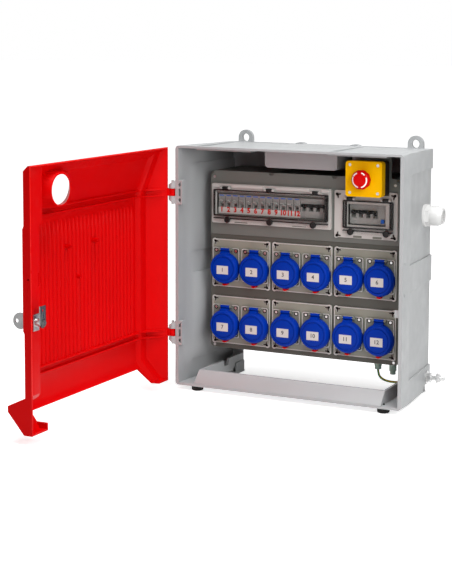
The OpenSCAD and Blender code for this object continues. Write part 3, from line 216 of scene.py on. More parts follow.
def bevel(piece, width, segments=2):
    """Rounds the piece's edges that are sharper than BEVEL_ANGLE."""
    mod = piece.modifiers.new("edge", "BEVEL")
    mod.width = width
    mod.segments = segments
    mod.limit_method = "ANGLE"
    mod.angle_limit = math.radians(BEVEL_ANGLE)
    mod.harden_normals = True
    return piece


def dressed(node, body, look, width, segments=2):
    """A merged copy of a node's solid with rounded edges, standing for the node."""
    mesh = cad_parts[node].data.copy()
    bm = bmesh.new()
    bm.from_mesh(mesh)
    bmesh.ops.remove_doubles(bm, verts=bm.verts, dist=4e-6)
    bmesh.ops.dissolve_limit(bm, angle_limit=math.radians(1.0), verts=bm.verts, edges=bm.edges)
    bm.to_mesh(mesh)
    bm.free()
    piece = finish_piece(node + "_dressed", mesh, body, look)
    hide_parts(node)
    return bevel(piece, width, segments)


def rounded(w, h, r, steps=6):
    """Outline of a rounded rectangle about the origin: four quarter arcs joined by straight runs."""
    t = np.linspace(0, math.pi / 2, steps)
    arc = np.stack((np.cos(t), np.sin(t)), -1) * r
    turn = [np.array([[c, -s], [s, c]]) for c, s in ((1, 0), (0, 1), (-1, 0), (0, -1))]
    mid = np.array([[w / 2 - r, h / 2 - r], [-(w / 2 - r), h / 2 - r], [-(w / 2 - r), -(h / 2 - r)],
                    [w / 2 - r, -(h / 2 - r)]])
    return np.concatenate([arc @ turn[i].T + mid[i] for i in range(4)])


def circle(r, count=48):
    """Outline of a circle about the origin."""
    t = np.linspace(0, 2 * math.pi, count, endpoint=False)
    return np.stack((np.cos(t), np.sin(t)), -1) * r


def front_prism(outline, x, z, y0, y1):
    """(points, faces) of an outline in the x-z plane carried from y0 to y1, closed at both ends."""
    o = np.asarray(outline, float)
    n = len(o)
    ends = [np.stack((o[:, 0] + x, np.full(n, y), o[:, 1] + z), -1) for y in (y0, y1)]
    faces = grid_faces(2, n, wrap_cols=True).tolist() + [list(range(n))[::-1], list(range(n, 2 * n))]
    return np.concatenate(ends), faces


def front_ring(outer, inner, x, z, y0, y1):
    """(points, faces) of a flat ring between two outlines with equal counts, from y0 to y1."""
    n = len(outer)
    loops = [(outer, y1), (outer, y0), (inner, y0), (inner, y1)]
    pts = [np.stack((o[:, 0] + x, np.full(n, y), o[:, 1] + z), -1) for o, y in loops]
    return np.concatenate(pts), grid_faces(4, n, True, True)


def revolve(profile, count=64, ribs=None):
    """(points, faces) about the h axis: each profile point (r, h) is turned round, r scaled by
    1 + ribs(angle, h); ends at r = 0 close on themselves when doubles are merged."""
    prof = np.asarray(profile, float)
    t = np.linspace(0, 2 * math.pi, count, endpoint=False)
    r, h = prof[:, None, 0], prof[:, None, 1]
    grow = 1.0 if ribs is None else 1.0 + ribs(t[None, :], h)
    pts = np.stack(np.broadcast_arrays(r * grow * np.cos(t), r * grow * np.sin(t), h), -1)
    return pts, grid_faces(len(prof), count, wrap_cols=True)


def facing_front(points, x, y, z):
    """Turns (a, b, h) so that h points out of the panel towards -Y, and moves it to x, y, z."""
    p = np.asarray(points, float)
    return np.stack((p[..., 0] + x, y - p[..., 2], p[..., 1] + z), -1)


def smooth_path(route, per_span=8):
    """A curve through the route's points: on each span a cubic with the tangents of a
    Catmull-Rom spline, sampled evenly."""
    p = np.asarray(route, float)
    q = np.concatenate((p[:1] * 2 - p[1:2], p, p[-1:] * 2 - p[-2:-1]))
    t = np.linspace(0, 1, per_span, endpoint=False)[None, :, None]
    a, b, c, d = (q[i:len(q) - 3 + i, None, :] for i in range(4))
    span = 0.5 * (2 * b + (c - a) * t + (2 * a - 5 * b + 4 * c - d) * t ** 2
                  + (3 * b - a - 3 * c + d) * t ** 3)
    return np.concatenate((span.reshape(-1, 3), p[-1:]))


def tube(path, radius, count=20):
    """(points, faces, uv) of a round tube: at each path point two directions square to the
    tangent carry a circle; uv is (way round, way along in metres)."""
    p = np.asarray(path, float)
    tan = np.gradient(p, axis=0)
    tan /= np.linalg.norm(tan, axis=1, keepdims=True)
    side = np.cross(tan, (0.62, -0.78, 0.05))
    side /= np.linalg.norm(side, axis=1, keepdims=True)
    up = np.cross(tan, side)
    t = np.linspace(0, 2 * math.pi, count + 1)
    pts = p[:, None] + radius * (np.cos(t)[None, :, None] * side[:, None]
                                 + np.sin(t)[None, :, None] * up[:, None])
    run = np.concatenate(([0], np.cumsum(np.linalg.norm(np.diff(p, axis=0), axis=1)))) / 1000
    uv = np.stack(np.broadcast_arrays(t[None, :] / (2 * math.pi), run[:, None]), -1)
    return pts, grid_faces(len(p), count + 1), uv


def join(parts):
    """Several (points, faces) as one."""
    pts, faces, start = [], [], 0
    for p, f in parts:
        p = np.asarray(p, float).reshape(-1, 3)
        pts.append(p)
        faces += [[int(i) + start for i in face] for face in f]
        start += len(p)
    return np.concatenate(pts), faces


def words(text, size, x, y, z, name, body, slot, look, depth, bold):
    """Plain figures standing on a face that looks towards -Y, centred at x, z."""
    curve = bpy.data.curves.new(name, "FONT")
    curve.body = text
    curve.size = size
    curve.offset = bold
    curve.extrude = depth
    curve.align_x = "CENTER"
    curve.align_y = "CENTER"
    curve.resolution_u = 3
    holder = bpy.data.objects.new(name + "_outline", curve)
    bpy.context.scene.collection.objects.link(holder)
    bpy.context.view_layer.update()
    mesh = bpy.data.meshes.new_from_object(holder.evaluated_get(bpy.context.evaluated_depsgraph_get()))
    bpy.data.objects.remove(holder)
    co = np.empty(len(mesh.vertices) * 3)
    mesh.vertices.foreach_get("co", co)
    mesh.vertices.foreach_set("co", place(facing_front(co.reshape(-1, 3), x, y, z)).ravel())
    return finish_piece(name, mesh, body, look)


# ---- materials ----------------------------------------------------------------------------------
class Nodes:
    """A material's node tree with short ways to add what every finish here uses."""

    def __init__(self, name):
        self.material = bpy.data.materials.new(name)
        self.material.use_nodes = True
        self.tree = self.material.node_tree
        self.shader = self.tree.nodes["Principled BSDF"]
        self.coords = self.tree.nodes.new("ShaderNodeTexCoord")

    def link(self, a, b):
        self.tree.links.new(a, b)

    def spots(self, scale, detail=3.0, stretch=None):
        """Noise on Object coordinates, stretched along an axis if asked."""
        noise = self.tree.nodes.new("ShaderNodeTexNoise")
        noise.inputs["Scale"].default_value = scale
        noise.inputs["Detail"].default_value = detail
        where = self.coords.outputs["Object"]
        if stretch:
            mapping = self.tree.nodes.new("ShaderNodeMapping")
            mapping.inputs["Scale"].default_value = stretch
            self.link(where, mapping.inputs["Vector"])
            where = mapping.outputs["Vector"]
        self.link(where, noise.inputs["Vector"])
        return noise.outputs["Fac"]

    def spread(self, value, low, high, bottom=0.3, top=0.7):
        """Maps a value from bottom..top to low..high."""
        node = self.tree.nodes.new("ShaderNodeMapRange")
        for end, number in (("From Min", bottom), ("From Max", top), ("To Min", low), ("To Max", high)):
            node.inputs[end].default_value = number
        self.link(value, node.inputs["Value"])
        return node.outputs["Result"]

    def blend(self, value, a, b):
        """Colour between a and b by value."""
        node = self.tree.nodes.new("ShaderNodeMix")
        node.data_type = "RGBA"
        node.inputs["A"].default_value = (*a, 1)
        node.inputs["B"].default_value = (*b, 1)
        self.link(value, node.inputs["Factor"])
        return node.outputs["Result"]

    def bump(self, heights):
        """Bump from (value, depth in metres) pairs, one on the other."""
        last = None
        for value, depth in heights:
            node = self.tree.nodes.new("ShaderNodeBump")
            node.inputs["Distance"].default_value = depth
            self.link(value, node.inputs["Height"])
            if last:
                self.link(last, node.inputs["Normal"])
            last = node.outputs["Normal"]
        self.link(last, self.shader.inputs["Normal"])


def tinted(rgb, factor):
    """A colour made darker or lighter."""
    return tuple(min(1.0, c * factor) for c in rgb)


def moulded(name, rgb, rough=0.42, grain=900.0, depth=0.00012, tone=0.06, gloss=0.3):
    """Moulded plastic: fine eroded grain, slow colour drift, and patches of handling polish."""
    n = Nodes(name)
    drift = n.spread(n.spots(9.0, 4.0), 0, 1)
    n.link(n.blend(drift, tinted(rgb, 1 - tone), tinted(rgb, 1 + tone)), n.shader.inputs["Base Color"])
    n.link(n.spread(n.spots(38.0, 5.0), rough - 0.07, rough + 0.08), n.shader.inputs["Roughness"])
    n.bump([(n.spots(grain, 2.0), depth), (n.spots(26.0, 2.0), 0.0004)])
    n.shader.inputs["Specular IOR Level"].default_value = gloss
    return n.material


def plated(name, rgb, rough=0.28, stretch=(40, 40, 900)):
    """Plated metal: fine draw lines one way, soft spots of dulled plating."""
    n = Nodes(name)
    lines = n.spots(1.0, 3.0, stretch)
    dull = n.spread(n.spots(60.0, 4.0), 0, 1)
    n.link(n.blend(dull, tinted(rgb, 0.82), rgb), n.shader.inputs["Base Color"])
    n.link(n.spread(lines, rough - 0.08, rough + 0.12), n.shader.inputs["Roughness"])
    n.bump([(lines, 0.00005)])
    n.shader.inputs["Metallic"].default_value = 1.0
    return n.material


def clear(name, rgb, alpha, rough=0.06):
    """Clear smoke-tinted plastic: thin body colour, fine scuffs in the gloss."""
    n = Nodes(name)
    n.shader.inputs["Base Color"].default_value = (*rgb, 1)
    n.link(n.spread(n.spots(140.0, 5.0), rough, rough + 0.12), n.shader.inputs["Roughness"])
    n.bump([(n.spots(12.0, 1.0), 0.0003)])
    n.shader.inputs["Alpha"].default_value = alpha
    n.shader.inputs["Specular IOR Level"].default_value = 0.35
    return n.material


def striped(name, ground, stripe):
    """Two-colour cable insulation: the stripe takes part of the way round, by the piece's own UV."""
    n = Nodes(name)
    split = n.tree.nodes.new("ShaderNodeSeparateXYZ")
    n.link(n.coords.outputs["UV"], split.inputs["Vector"])
    wave = n.tree.nodes.new("ShaderNodeMath")
    wave.operation = "PINGPONG"
    wave.inputs[1].default_value = 0.5
    n.link(split.outputs["X"], wave.inputs[0])
    n.link(n.blend(n.spread(wave.outputs["Value"], 0, 1, 0.24, 0.26), ground, stripe),
           n.shader.inputs["Base Color"])
    n.link(n.spread(n.spots(200.0), 0.3, 0.42), n.shader.inputs["Roughness"])
    n.bump([(n.spots(700.0, 2.0), 0.00005)])
    return n.material


def make_materials(c):
    """Every finish of the object by its short name; a moulded one is given as name, colour,
    roughness, grain, its depth, tone and gloss."""
    made = {short: moulded(*row) for short, *row in (
        ("cabinet", "cabinet_moulding", c.cabinet, 0.44, 1100, 0.00008, 0.025),
        ("door", "door_moulding", c.door, 0.4, 1100, 0.00007, 0.04, 0.06),
        ("panel", "panel_moulding", c.panel, 0.5, 800, 0.00012, 0.05),
        ("box", "panel_box_moulding", c.box, 0.5, 800, 0.00012, 0.05),
        ("plate", "socket_plate_moulding", c.plate, 0.48, 800, 0.0001, 0.05),
        ("flange", "flange_moulding", c.flange, 0.4, 900, 0.00008, 0.05),
        ("frame", "window_frame_moulding", c.window_frame, 0.4, 900, 0.00008, 0.04),
        ("lid", "lid_moulding", c.lid, 0.4, 900, 0.00008, 0.06, 0.08),
        ("device", "device_moulding", c.device, 0.45, 900, 0.00008, 0.05),
        ("lever", "lever_moulding", c.lever, 0.4, 900, 0.00008, 0.08),
        ("dark", "dark_moulding", c.dark, 0.42, 700, 0.0001, 0.12),
        ("rubber", "foot_rubber", c.dark, 0.75, 500, 0.0002, 0.15),
        ("yellow", "stop_cover_moulding", c.stop_yellow, 0.35, 900, 0.00008, 0.04, 0.07),
        ("red", "stop_red_moulding", c.stop_red, 0.3, 900, 0.00006, 0.06, 0.1),
        ("gland", "gland_polyamide", c.gland, 0.38, 600, 0.0001, 0.03),
        ("green_gland", "small_gland_polyamide", c.green_gland, 0.4, 600, 0.0001, 0.05),
        ("label", "label_film", linear(206, 203, 198), 0.5, 300, 0.00004, 0.04),
        ("strip", "number_strip_film", linear(214, 212, 208), 0.5, 300, 0.00004, 0.04),
        # lighter red of the door's rim strip: a painted highlight
        ("lip", "door_rim_moulding", linear(236, 22, 16), 0.3, 1100, 0.00005, 0.03, 0.3),
        ("recess", "recess_shade", linear(52, 47, 44), 0.6, 500, 0.0001, 0.1, 0.1),
        ("hole", "hole_shade", linear(20, 17, 15), 0.7, 500, 0.0001, 0.1, 0.05),
        ("print_red", "red_print", c.print_red, 0.5, 300, 0.00003, 0.08),
        ("print_blue", "blue_print", c.print_blue, 0.5, 300, 0.00003, 0.08),
        ("print_dark", "dark_print", linear(60, 60, 64), 0.5, 300, 0.00003, 0.08),
        ("white", "white_print", linear(238, 236, 232), 0.45, 300, 0.00003, 0.03),
    )}
    made.update({
        "zinc": plated("zinc_plating", c.metal, 0.3),
        "nickel": plated("nickel_plating", tinted(c.metal, 0.42), 0.24, (300, 300, 60)),
        "brass": plated("contact_brass_finish", linear(212, 178, 96), 0.3),
        "clear": clear("window_plastic", linear(90, 88, 85), 0.04),
        # near-black bands along the clear covers' edges: painted shade
        "edge_shade": clear("cover_edge_painted_shade", linear(14, 13, 12), 0.93, 0.25),
        "wire": striped("earth_insulation", linear(20, 120, 44), linear(232, 204, 20)),
    })
    return made



store = {}


def finish(name):
    """The finish of that short name, made once."""
    if not store:
        store.update(make_materials(bpy.context.scene.powerbox_colours))
    return store[name]


def socket_places():
    """(number, centre x, centre z) of the twelve sockets, upper row first."""
    for row, bottom in enumerate(ROWS):
        for i in range(6):
            x = (i // 2 - 1) * PLATE_PITCH + (i % 2 - 0.5) * SOCKET_PITCH
            yield row * 6 + i + 1, x, bottom + SOCKET_DZ


# ---- operators ----------------------------------------------------------------------------------
def sizes():
    """The sizes that the panel shows."""
    return bpy.context.scene.powerbox_sizes


class POWERBOX_OT_cabinet(bpy.types.Operator):
    """Cabinet moulding with rounded edges"""
    bl_idname = "powerbox.cabinet"
    bl_label = "Cabinet"

    def execute(self, context):
        dressed("housing", "cabinet", "cabinet", sizes().edge * 0.8)
        return {"FINISHED"}


class POWERBOX_OT_small_metal(bpy.types.Operator):
    """Hinge pins, rails, keeper, screws and contacts"""
    bl_idname = "powerbox.small_metal"
    bl_label = "Small metal parts"

    def execute(self, context):
        for node in ("hinge_pins", "din_rails", "screws"):
            dressed(node, "cabinet", "zinc", sizes().fine_edge)
        dressed("lock_keeper", "cabinet", "cabinet", sizes().fine_edge)
        dressed("socket_contacts", "cabinet", "brass", sizes().fine_edge)
        return {"FINISHED"}


class POWERBOX_OT_feet(bpy.types.Operator):
    """Black rubber feet"""
    bl_idname = "powerbox.feet"
    bl_label = "Feet"

    def execute(self, context):
        dressed("rubber_feet", "cabinet", "rubber", sizes().edge)
        return {"FINISHED"}


class POWERBOX_OT_panel(bpy.types.Operator):
    """Panel box in a colour darkened as painted shade between the plates, upper plate and the socket
    plates with their raised edges, painted light as their highlight, and corner fixings
    """
    bl_idname = "powerbox.panel"
    bl_label = "Panel"

    def execute(self, context):
        # the panel box's darker colour is painted shade between the plates
        for node, look in (("panel_box", "box"), ("upper_plate", "panel"), ("socket_plates", "plate")):
            dressed(node, "cabinet", look, sizes().edge * 0.8)
        lip = sizes().lip * 1000
        rim_highlights, corners = [], []
        w, h = PLATE_W - 0.6, PLATE_H - 0.6
        outer, inner = rounded(w, h, 3.4), rounded(w - 2 * lip, h - 2 * lip, 2)
        for i in (-1, 0, 1):
            for bottom in ROWS:
                x, z = i * PLATE_PITCH, bottom + PLATE_H / 2
                rim_highlights.append(front_ring(outer, inner, x, z, PANEL_Y - 1.2, PANEL_Y))
                corners += [(x + a * PLATE_FIX_X, z + b * PLATE_FIX_Z, math.atan2(b, a))
                            for a in (-1, 1) for b in (-1, 1)]
        # the plates' raised edges take the light frame colour as a painted highlight
        new_piece("plate_edge_highlights", join(rim_highlights), "cabinet", "panel_taupe", "frame", 0.0005)
        corner_fixings("plate", corners, PANEL_Y)
        return {"FINISHED"}


def corner_slot(turn, grow=0.0, lean=0.0, count=64):
    """Outline of a corner recess: radius 3 plus a round lobe towards the corner at angle turn and
    two narrow arms three eighths of a turn either side, each a bell curve of the angle; grow widens
    it all round and lean only towards the corner."""
    t = np.linspace(0, 2 * math.pi, count, endpoint=False)
    off = (t - turn + math.pi) % (2 * math.pi) - math.pi
    r = 3.0 + 2.6 * np.exp(-(off / 1.0) ** 2) + 5.4 * np.exp(-((np.abs(off) - 2.36) / 0.36) ** 2)
    r = r + grow + lean * np.exp(-(off / 1.25) ** 2)
    return np.stack((r * np.cos(t), r * np.sin(t)), -1)


def corner_fixings(name, corners, y):
    """A plate's corner recesses: the slot and its screw hole as flat patches of painted shade, and the
    raised lip round it in the light frame colour, a painted highlight on the socket plates.
    """
    slots, holes, lips = [], [], []
    for x, z, turn in corners:
        slots.append(front_prism(corner_slot(turn), x, z, y - 0.25, y + 0.05))
        lips.append(front_ring(corner_slot(turn, 0.5, 2.2), corner_slot(turn, 0.2), x, z,
                               y - 1.3, y + 0.05))
        holes.append(front_prism(circle(3.0, 20), x + 2.0 * math.cos(turn), z + 2.0 * math.sin(turn),
                                 y - 0.4, y + 0.05))
    new_piece(name + "_slots", join(slots), "cabinet", "panel_taupe", "recess")
    new_piece(name + "_slot_holes", join(holes), "cabinet", "toggle_dark", "hole")
    new_piece(name + "_slot_lips", join(lips), "cabinet", "panel_taupe", "frame")


class POWERBOX_OT_sockets(bpy.types.Operator):
    """Socket flanges with a raised edge painted light as its highlight and screw wells painted dark as
    shade, and the red catches under the lids
    """
    bl_idname = "powerbox.sockets"
    bl_label = "Sockets"

    def execute(self, context):
        dressed("socket_bodies", "cabinet", "flange", sizes().fine_edge * 2)
        edges, wells, catches = [], [], []
        outer = rounded(FLANGE_W - 0.4, FLANGE_H - 0.4, 5)
        inner = rounded(FLANGE_W - 4, FLANGE_H - 4, 3.4)
        half = np.linspace(math.pi, 2 * math.pi, 16)
        nose = np.stack((6.0 * np.cos(half), 4.4 * np.sin(half)), -1)
        for _, x, z in socket_places():
            edges.append(front_ring(outer, inner, x, z + FLANGE_UP, FLANGE_Y - 0.9, FLANGE_Y))
            # dark rings round the flange screws: painted shade of their wells
            wells += [front_ring(circle(5.0, 24), circle(3.1, 24), x + a * FLANGE_SX,
                                 z + FLANGE_UP + b * FLANGE_SZ, FLANGE_Y - 0.2, FLANGE_Y)
                      for a in (-1, 1) for b in (-1, 1)]
            catches.append(front_prism(nose, x, z - LID_R - 0.8, LID_Y + LID_RIM + 1.0, PANEL_Y))
        # the flange edges take the light frame colour as a painted highlight
        new_piece("flange_edge_highlights", join(edges), "cabinet", "socket_grey", "frame", 0.0004)
        new_piece("screw_wells", join(wells), "cabinet", "socket_grey", "hole")
        catch = new_piece("catch_noses", join(catches), "cabinet", "catch_red", "red", 0.0006)
        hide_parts("lid_catches")
        return {"FINISHED"}


class POWERBOX_OT_lids(bpy.types.Operator):
    """Twelve blue lids: a grooved disc, its strap and hinge, and a plain number plate"""
    bl_idname = "powerbox.lids"
    bl_label = "Lids"

    def execute(self, context):
        w, h = sizes().label_w * 1000, sizes().label_h * 1000
        for number, x, z in socket_places():
            tag, body = "_%02d" % number, "lid_%02d" % number
            mid_x, mid_z, front = x - 1.0, z - 3.0, LID_Y - 0.25
            lid = new_piece("lid_disc" + tag, lid_shape(x, z), body, "lid_blue", "lid", smooth=28)
            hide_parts("socket_lid" + tag)
            new_piece("lid_strap" + tag, strap_shape(x, z), body, "lid_blue", "lid", 0.0006)
            label = front_prism(rounded(w, h, 1.0), mid_x, mid_z, front, LID_Y + 0.6)
            new_piece("lid_plate" + tag, label, body, "device_white", "label", 0.00015)
            words(str(number), 13.0, mid_x, front, mid_z, "lid_number" + tag, body,
                  "toggle_dark", "print_dark", 0.06, 0.25)
        return {"FINISHED"}


def lid_shape(x, z):
    """A lid as a turned profile: hollow back, straight skirt, a sloped shoulder joined to the skirt
    and to the face by quadratic Bezier curves, and a ring groove in the flat face."""
    r, rim, back = LID_R, -LID_RIM, -LID_D + 0.05
    t = np.linspace(0, 1, 7)[:, None]
    skirt, knee, top = np.array([(r, rim - 2.2)]), np.array([(r, rim)]), np.array([(r - 4.0, 0.0)])
    slope = top - knee
    lower, upper = knee + 0.3 * slope, knee + 0.78 * slope
    face = np.array([(r - 6.0, 0.0)])
    corner = (1 - t) ** 2 * skirt + 2 * t * (1 - t) * knee + t ** 2 * lower
    shoulder = (1 - t) ** 2 * upper + 2 * t * (1 - t) * top + t ** 2 * face
    inside = [(0, -2.5), (28.6, -2.5), (28.6, rim), (33.2, rim), (33.2, back), (r, back)]
    groove = [(28.6, -0.05), (28.3, -1.8), (26.9, -1.8), (26.6, -0.05), (26.0, 0.1), (0, 0.1)]
    profile = np.concatenate((inside, corner, shoulder, groove))
    pts, faces = revolve(profile, 96)
    return facing_front(pts, x, LID_Y, z), faces


def strap_shape(x, z):
    """The strap from the shoulder up to the hinge barrel: a side outline, round at the barrel,
    carried across its width."""
    t = np.linspace(math.radians(-60), math.radians(210), 16)
    r = 3.4
    barrel = np.stack((LID_HINGE_Y - r * np.sin(t), LID_HINGE_Z + r * np.cos(t)), -1)
    y = LID_Y + LID_RIM
    foot = [(y - 1.0, 36.4), (y - 1.2, 31.0), (y + 6.0, 31.0), (y + 7.2, 40.0)]
    side = np.concatenate((barrel, foot))
    n = len(side)
    ends = [np.stack((np.full(n, x + s * 11.0), side[:, 0], side[:, 1] + z), -1) for s in (-1, 1)]
    caps = [list(range(n)), list(range(n, 2 * n))]
    return np.concatenate(ends), grid_faces(2, n, wrap_cols=True).tolist() + caps


class POWERBOX_OT_breakers(bpy.types.Operator):
    """Breakers and the earth leakage breaker with their plain marks and numbers"""
    bl_idname = "powerbox.breakers"
    bl_label = "Breakers"

    def execute(self, context):
        for node in ("breaker_bodies", "rcbo_body"):
            dressed(node, "cabinet", "device", sizes().fine_edge * 1.5)
        width, face, back = SINGLES * MODULE, DEVICE_Y - 0.5, DEVICE_Y - 0.05
        strip = front_prism(rounded(width, STRIP_H, 0.8), ROW_X + width / 2, STRIP_Z, face, back)
        new_piece("number_strip", strip, "cabinet", "device_white", "strip")
        marks, gaps = [], []
        for i in range(SINGLES):
            x = ROW_X + (i + 0.5) * MODULE
            words(str(i + 1), NUMBER_SIZE, x, face, NUMBER_Z, "breaker_number_%02d" % (i + 1),
                  "cabinet", "catch_red", "print_red", 0.08, 0.75)
            marks += [front_prism(rounded(2.2, 3.0, 0.4), x - 4.5 + 3 * j, MARK_Z,
                                  DEVICE_Y - 0.2, DEVICE_Y - 0.02) for j in range(4)]
            gaps.append(front_prism(rounded(0.9, JOINT_H, 0.3), x + MODULE / 2, JOINT_Z,
                                    DEVICE_Y - 0.3, DEVICE_Y - 0.02))
        new_piece("breaker_marks", join(marks), "cabinet", "test_blue", "print_blue")
        new_piece("breaker_joints", join(gaps), "cabinet", "toggle_dark", "hole")
        plates = [front_prism(rounded(w, h, 0.8), x, z, face, back) for x, z, w, h in DEVICE_LABELS]
        new_piece("device_plates", join(plates), "cabinet", "device_white", "lever")
        return {"FINISHED"}


class POWERBOX_OT_levers(bpy.types.Operator):
    """Switch levers and the test button"""
    bl_idname = "powerbox.levers"
    bl_label = "Levers"

    def execute(self, context):
        for i in range(SINGLES):
            tag, x = "_%02d" % (i + 1), ROW_X + (i + 0.5) * MODULE
            lever = new_piece("toggle_paddle" + tag, lever_shape(x, ROW_Z), "toggle" + tag,
                              "toggle_grey", "lever", 0.0008)
            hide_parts("breaker_toggle" + tag)
        for node, body, x0, z in (("main_toggle", "main_lever", ROW_X + SINGLES * MODULE, ROW_Z),
                                  ("rcbo_toggle", "rcbo_lever", RCBO_X, RCBO_Z)):
            parts = [lever_shape(x0 + (i + 0.5) * MODULE, z) for i in range(POLES)]
            parts.append(swung(rounded(POLES * MODULE - 7, 5.6, 2.4), x0 + POLES / 2 * MODULE, z,
                               10.6, 3.2, -3.2))
            bar = new_piece(node + "_bar", join(parts), body, "toggle_dark", "dark", 0.0006)
            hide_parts(node)
        dressed("test_button", "test_key", "print_blue", sizes().fine_edge)
        return {"FINISHED"}


def swung(outline, x, z, along, t0, t1):
    """(points, faces) of an outline carried square to a lever: its second axis runs out along the
    lever, which tips up by LEVER_TIP from the switch axis at height z behind the device front."""
    pts, faces = front_prism(outline, 0.0, along, t0, t1)
    tip = math.radians(LEVER_TIP)
    c, s = math.cos(tip), math.sin(tip)
    y, d = pts[:, 1], pts[:, 2]
    axis_y = DEVICE_Y + LEVER_PIVOT
    return np.stack((pts[:, 0] + x, axis_y - c * d + s * y, z + s * d + c * y), -1), faces


def lever_shape(x, z):
    """One lever: a root that fits the slot and a wider rounded paddle outside it."""
    return join([swung(rounded(8.0, 9.0, 1.0), x, z, 4.0, -1.6, 1.6),
                 swung(rounded(9.4, 7.4, 2.2), x, z, 12.3, -1.9, 1.9)])


class POWERBOX_OT_windows(bpy.types.Operator):
    """Window frames with their bars and grip notches painted as patches of shade, and the clear covers
    with edges and hinge clips painted dark as shade
    """
    bl_idname = "powerbox.windows"
    bl_label = "Windows"

    def execute(self, context):
        dressed("window_frames", "cabinet", "frame", sizes().fine_edge * 2)
        bars = [front_prism(rounded(x1 - x0, BAR_H, 2.0), (x0 + x1) / 2, BAR_Z,
                            FRAME_A_Y - 2.8, FRAME_A_Y) for x0, x1 in BARS]
        # flat darker patches paint the shade of the grip notches
        shades = [front_prism(rounded(x1 - x0, NOTCH_H, 1.6), (x0 + x1) / 2, z, y - 0.3, y + 0.05)
                  for x0, x1, z, y in NOTCHES]
        x0, x1, z0, z1 = FRAME_A
        w, h = x1 - x0, z1 - z0
        lip = front_ring(rounded(w - 0.4, h - 0.4, 4), rounded(w - 4.4, h - 4.4, 2.4),
                         (x0 + x1) / 2, (z0 + z1) / 2, FRAME_A_Y - 0.9, FRAME_A_Y)
        new_piece("frame_bars", join(bars), "cabinet", "panel_taupe", "frame", 0.0008)
        new_piece("frame_lips", lip, "cabinet", "panel_taupe", "frame", 0.0004)
        new_piece("grip_notch_shades", join(shades), "cabinet", "panel_taupe", "flange")
        mid_x, mid_z = FRAME_B_MID
        corner_fixings("frame", [(x, z, math.atan2(z - mid_z, x - mid_x)) for x, z in FRAME_B_CORNERS],
                       FRAME_B_Y)
        for window, (x0, x1, z0, z1, front, depth) in COVERS.items():
            tag = "_" + "ab"[window - 1]
            node, body = "window_cover" + tag, "cover" + tag
            dressed(node, body, "clear", sizes().fine_edge)
            low = z0 + 13.0
            x, z, w, h = (x0 + x1) / 2, (low + z1) / 2, x1 - x0 - 1.0, z1 - low - 1.0
            y0, y1 = front + 2.6, front + depth - 0.3
            # dark bands round each cover and along its lower rib and uprights paint the shade seen in
            # the clear plastic's edges
            edge_shade = [front_ring(rounded(w, h, 2.4), rounded(w - 5.6, h - 5.6, 1.4), x, z, y0, y1),
                    front_prism(rounded(w, 2.4, 1.0), x, z0 + 8.0, y0, y1)]
            if window == 1:
                edge_shade.append(front_prism(rounded(7.0, h, 1.4), x1 - 5.0, z, y0, y1))
            else:
                edge_shade += [front_prism(rounded(4.0, h, 0.8), mid, z, y0, y1) for mid in (110.0, 217.0)]
            new_piece(node + "_edge", join(edge_shade), body, "toggle_dark", "edge_shade")
            # dark sleeves round the cover knuckles are painted shade
            clips = [clip_shape(hinge, front + depth - 3.4, z1 + 3.5) for hinge in COVER_HINGES[window]]
            new_piece(node + "_clip_shades", join(clips), body, "toggle_dark", "dark")
        return {"FINISHED"}


def clip_shape(x, y, z):
    """A cover's hinge clip: a closed sleeve turned about the hinge line, dark to paint the shade seen
    through the clear knuckle.
    """
    pts, faces = revolve([(0, -6.9), (3.4, -6.9), (3.6, -6.5), (3.6, 6.5), (3.4, 6.9), (0, 6.9)], 28)
    return np.stack((x + pts[..., 2], y + pts[..., 0], z + pts[..., 1]), -1), faces


class POWERBOX_OT_knobs(bpy.types.Operator):
    """Ribbed black knobs that lock the window covers"""
    bl_idname = "powerbox.knobs"
    bl_label = "Cover knobs"

    def execute(self, context):
        t = np.linspace(0, math.pi / 2, 5)
        edge = np.stack((6.3 + 1.2 * np.cos(t), 2.6 + 1.2 * np.sin(t)), -1)
        profile = np.concatenate(([(0, 0.05), (7.3, 0.05), (7.5, 0.5)], edge,
                                  [(4.6, 3.8), (4.3, 3.3), (0, 3.3)]))
        head, head_faces = revolve(profile, 72,
                                   lambda a, h: 0.03 * np.cos(18 * a) * (h > 0.1) * (h < 3.0))
        shaft, shaft_faces = revolve([(0, -10.5), (3.4, -10.5), (3.4, 0.1), (0, 0.1)], 32)
        for i, (x, z, window) in enumerate(KNOBS):
            tag, front = "_%d" % (i + 1), KNOB_FRONT[window]
            rest = ("knob" + tag, "knob_black", "dark")
            turned = facing_front(head, x, front + 3.7, z), head_faces
            knob = new_piece("knob_head" + tag, turned, *rest, smooth=30)
            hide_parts("cover_knob" + tag)
            grip = front_prism(rounded(7.6, 1.8, 0.8), x, z, front - 0.1, front + 1.0)
            new_piece("knob_grip" + tag, grip, *rest, 0.0003)
            new_piece("knob_shaft" + tag, (facing_front(shaft, x, front + 3.7, z), shaft_faces), *rest)
        return {"FINISHED"}


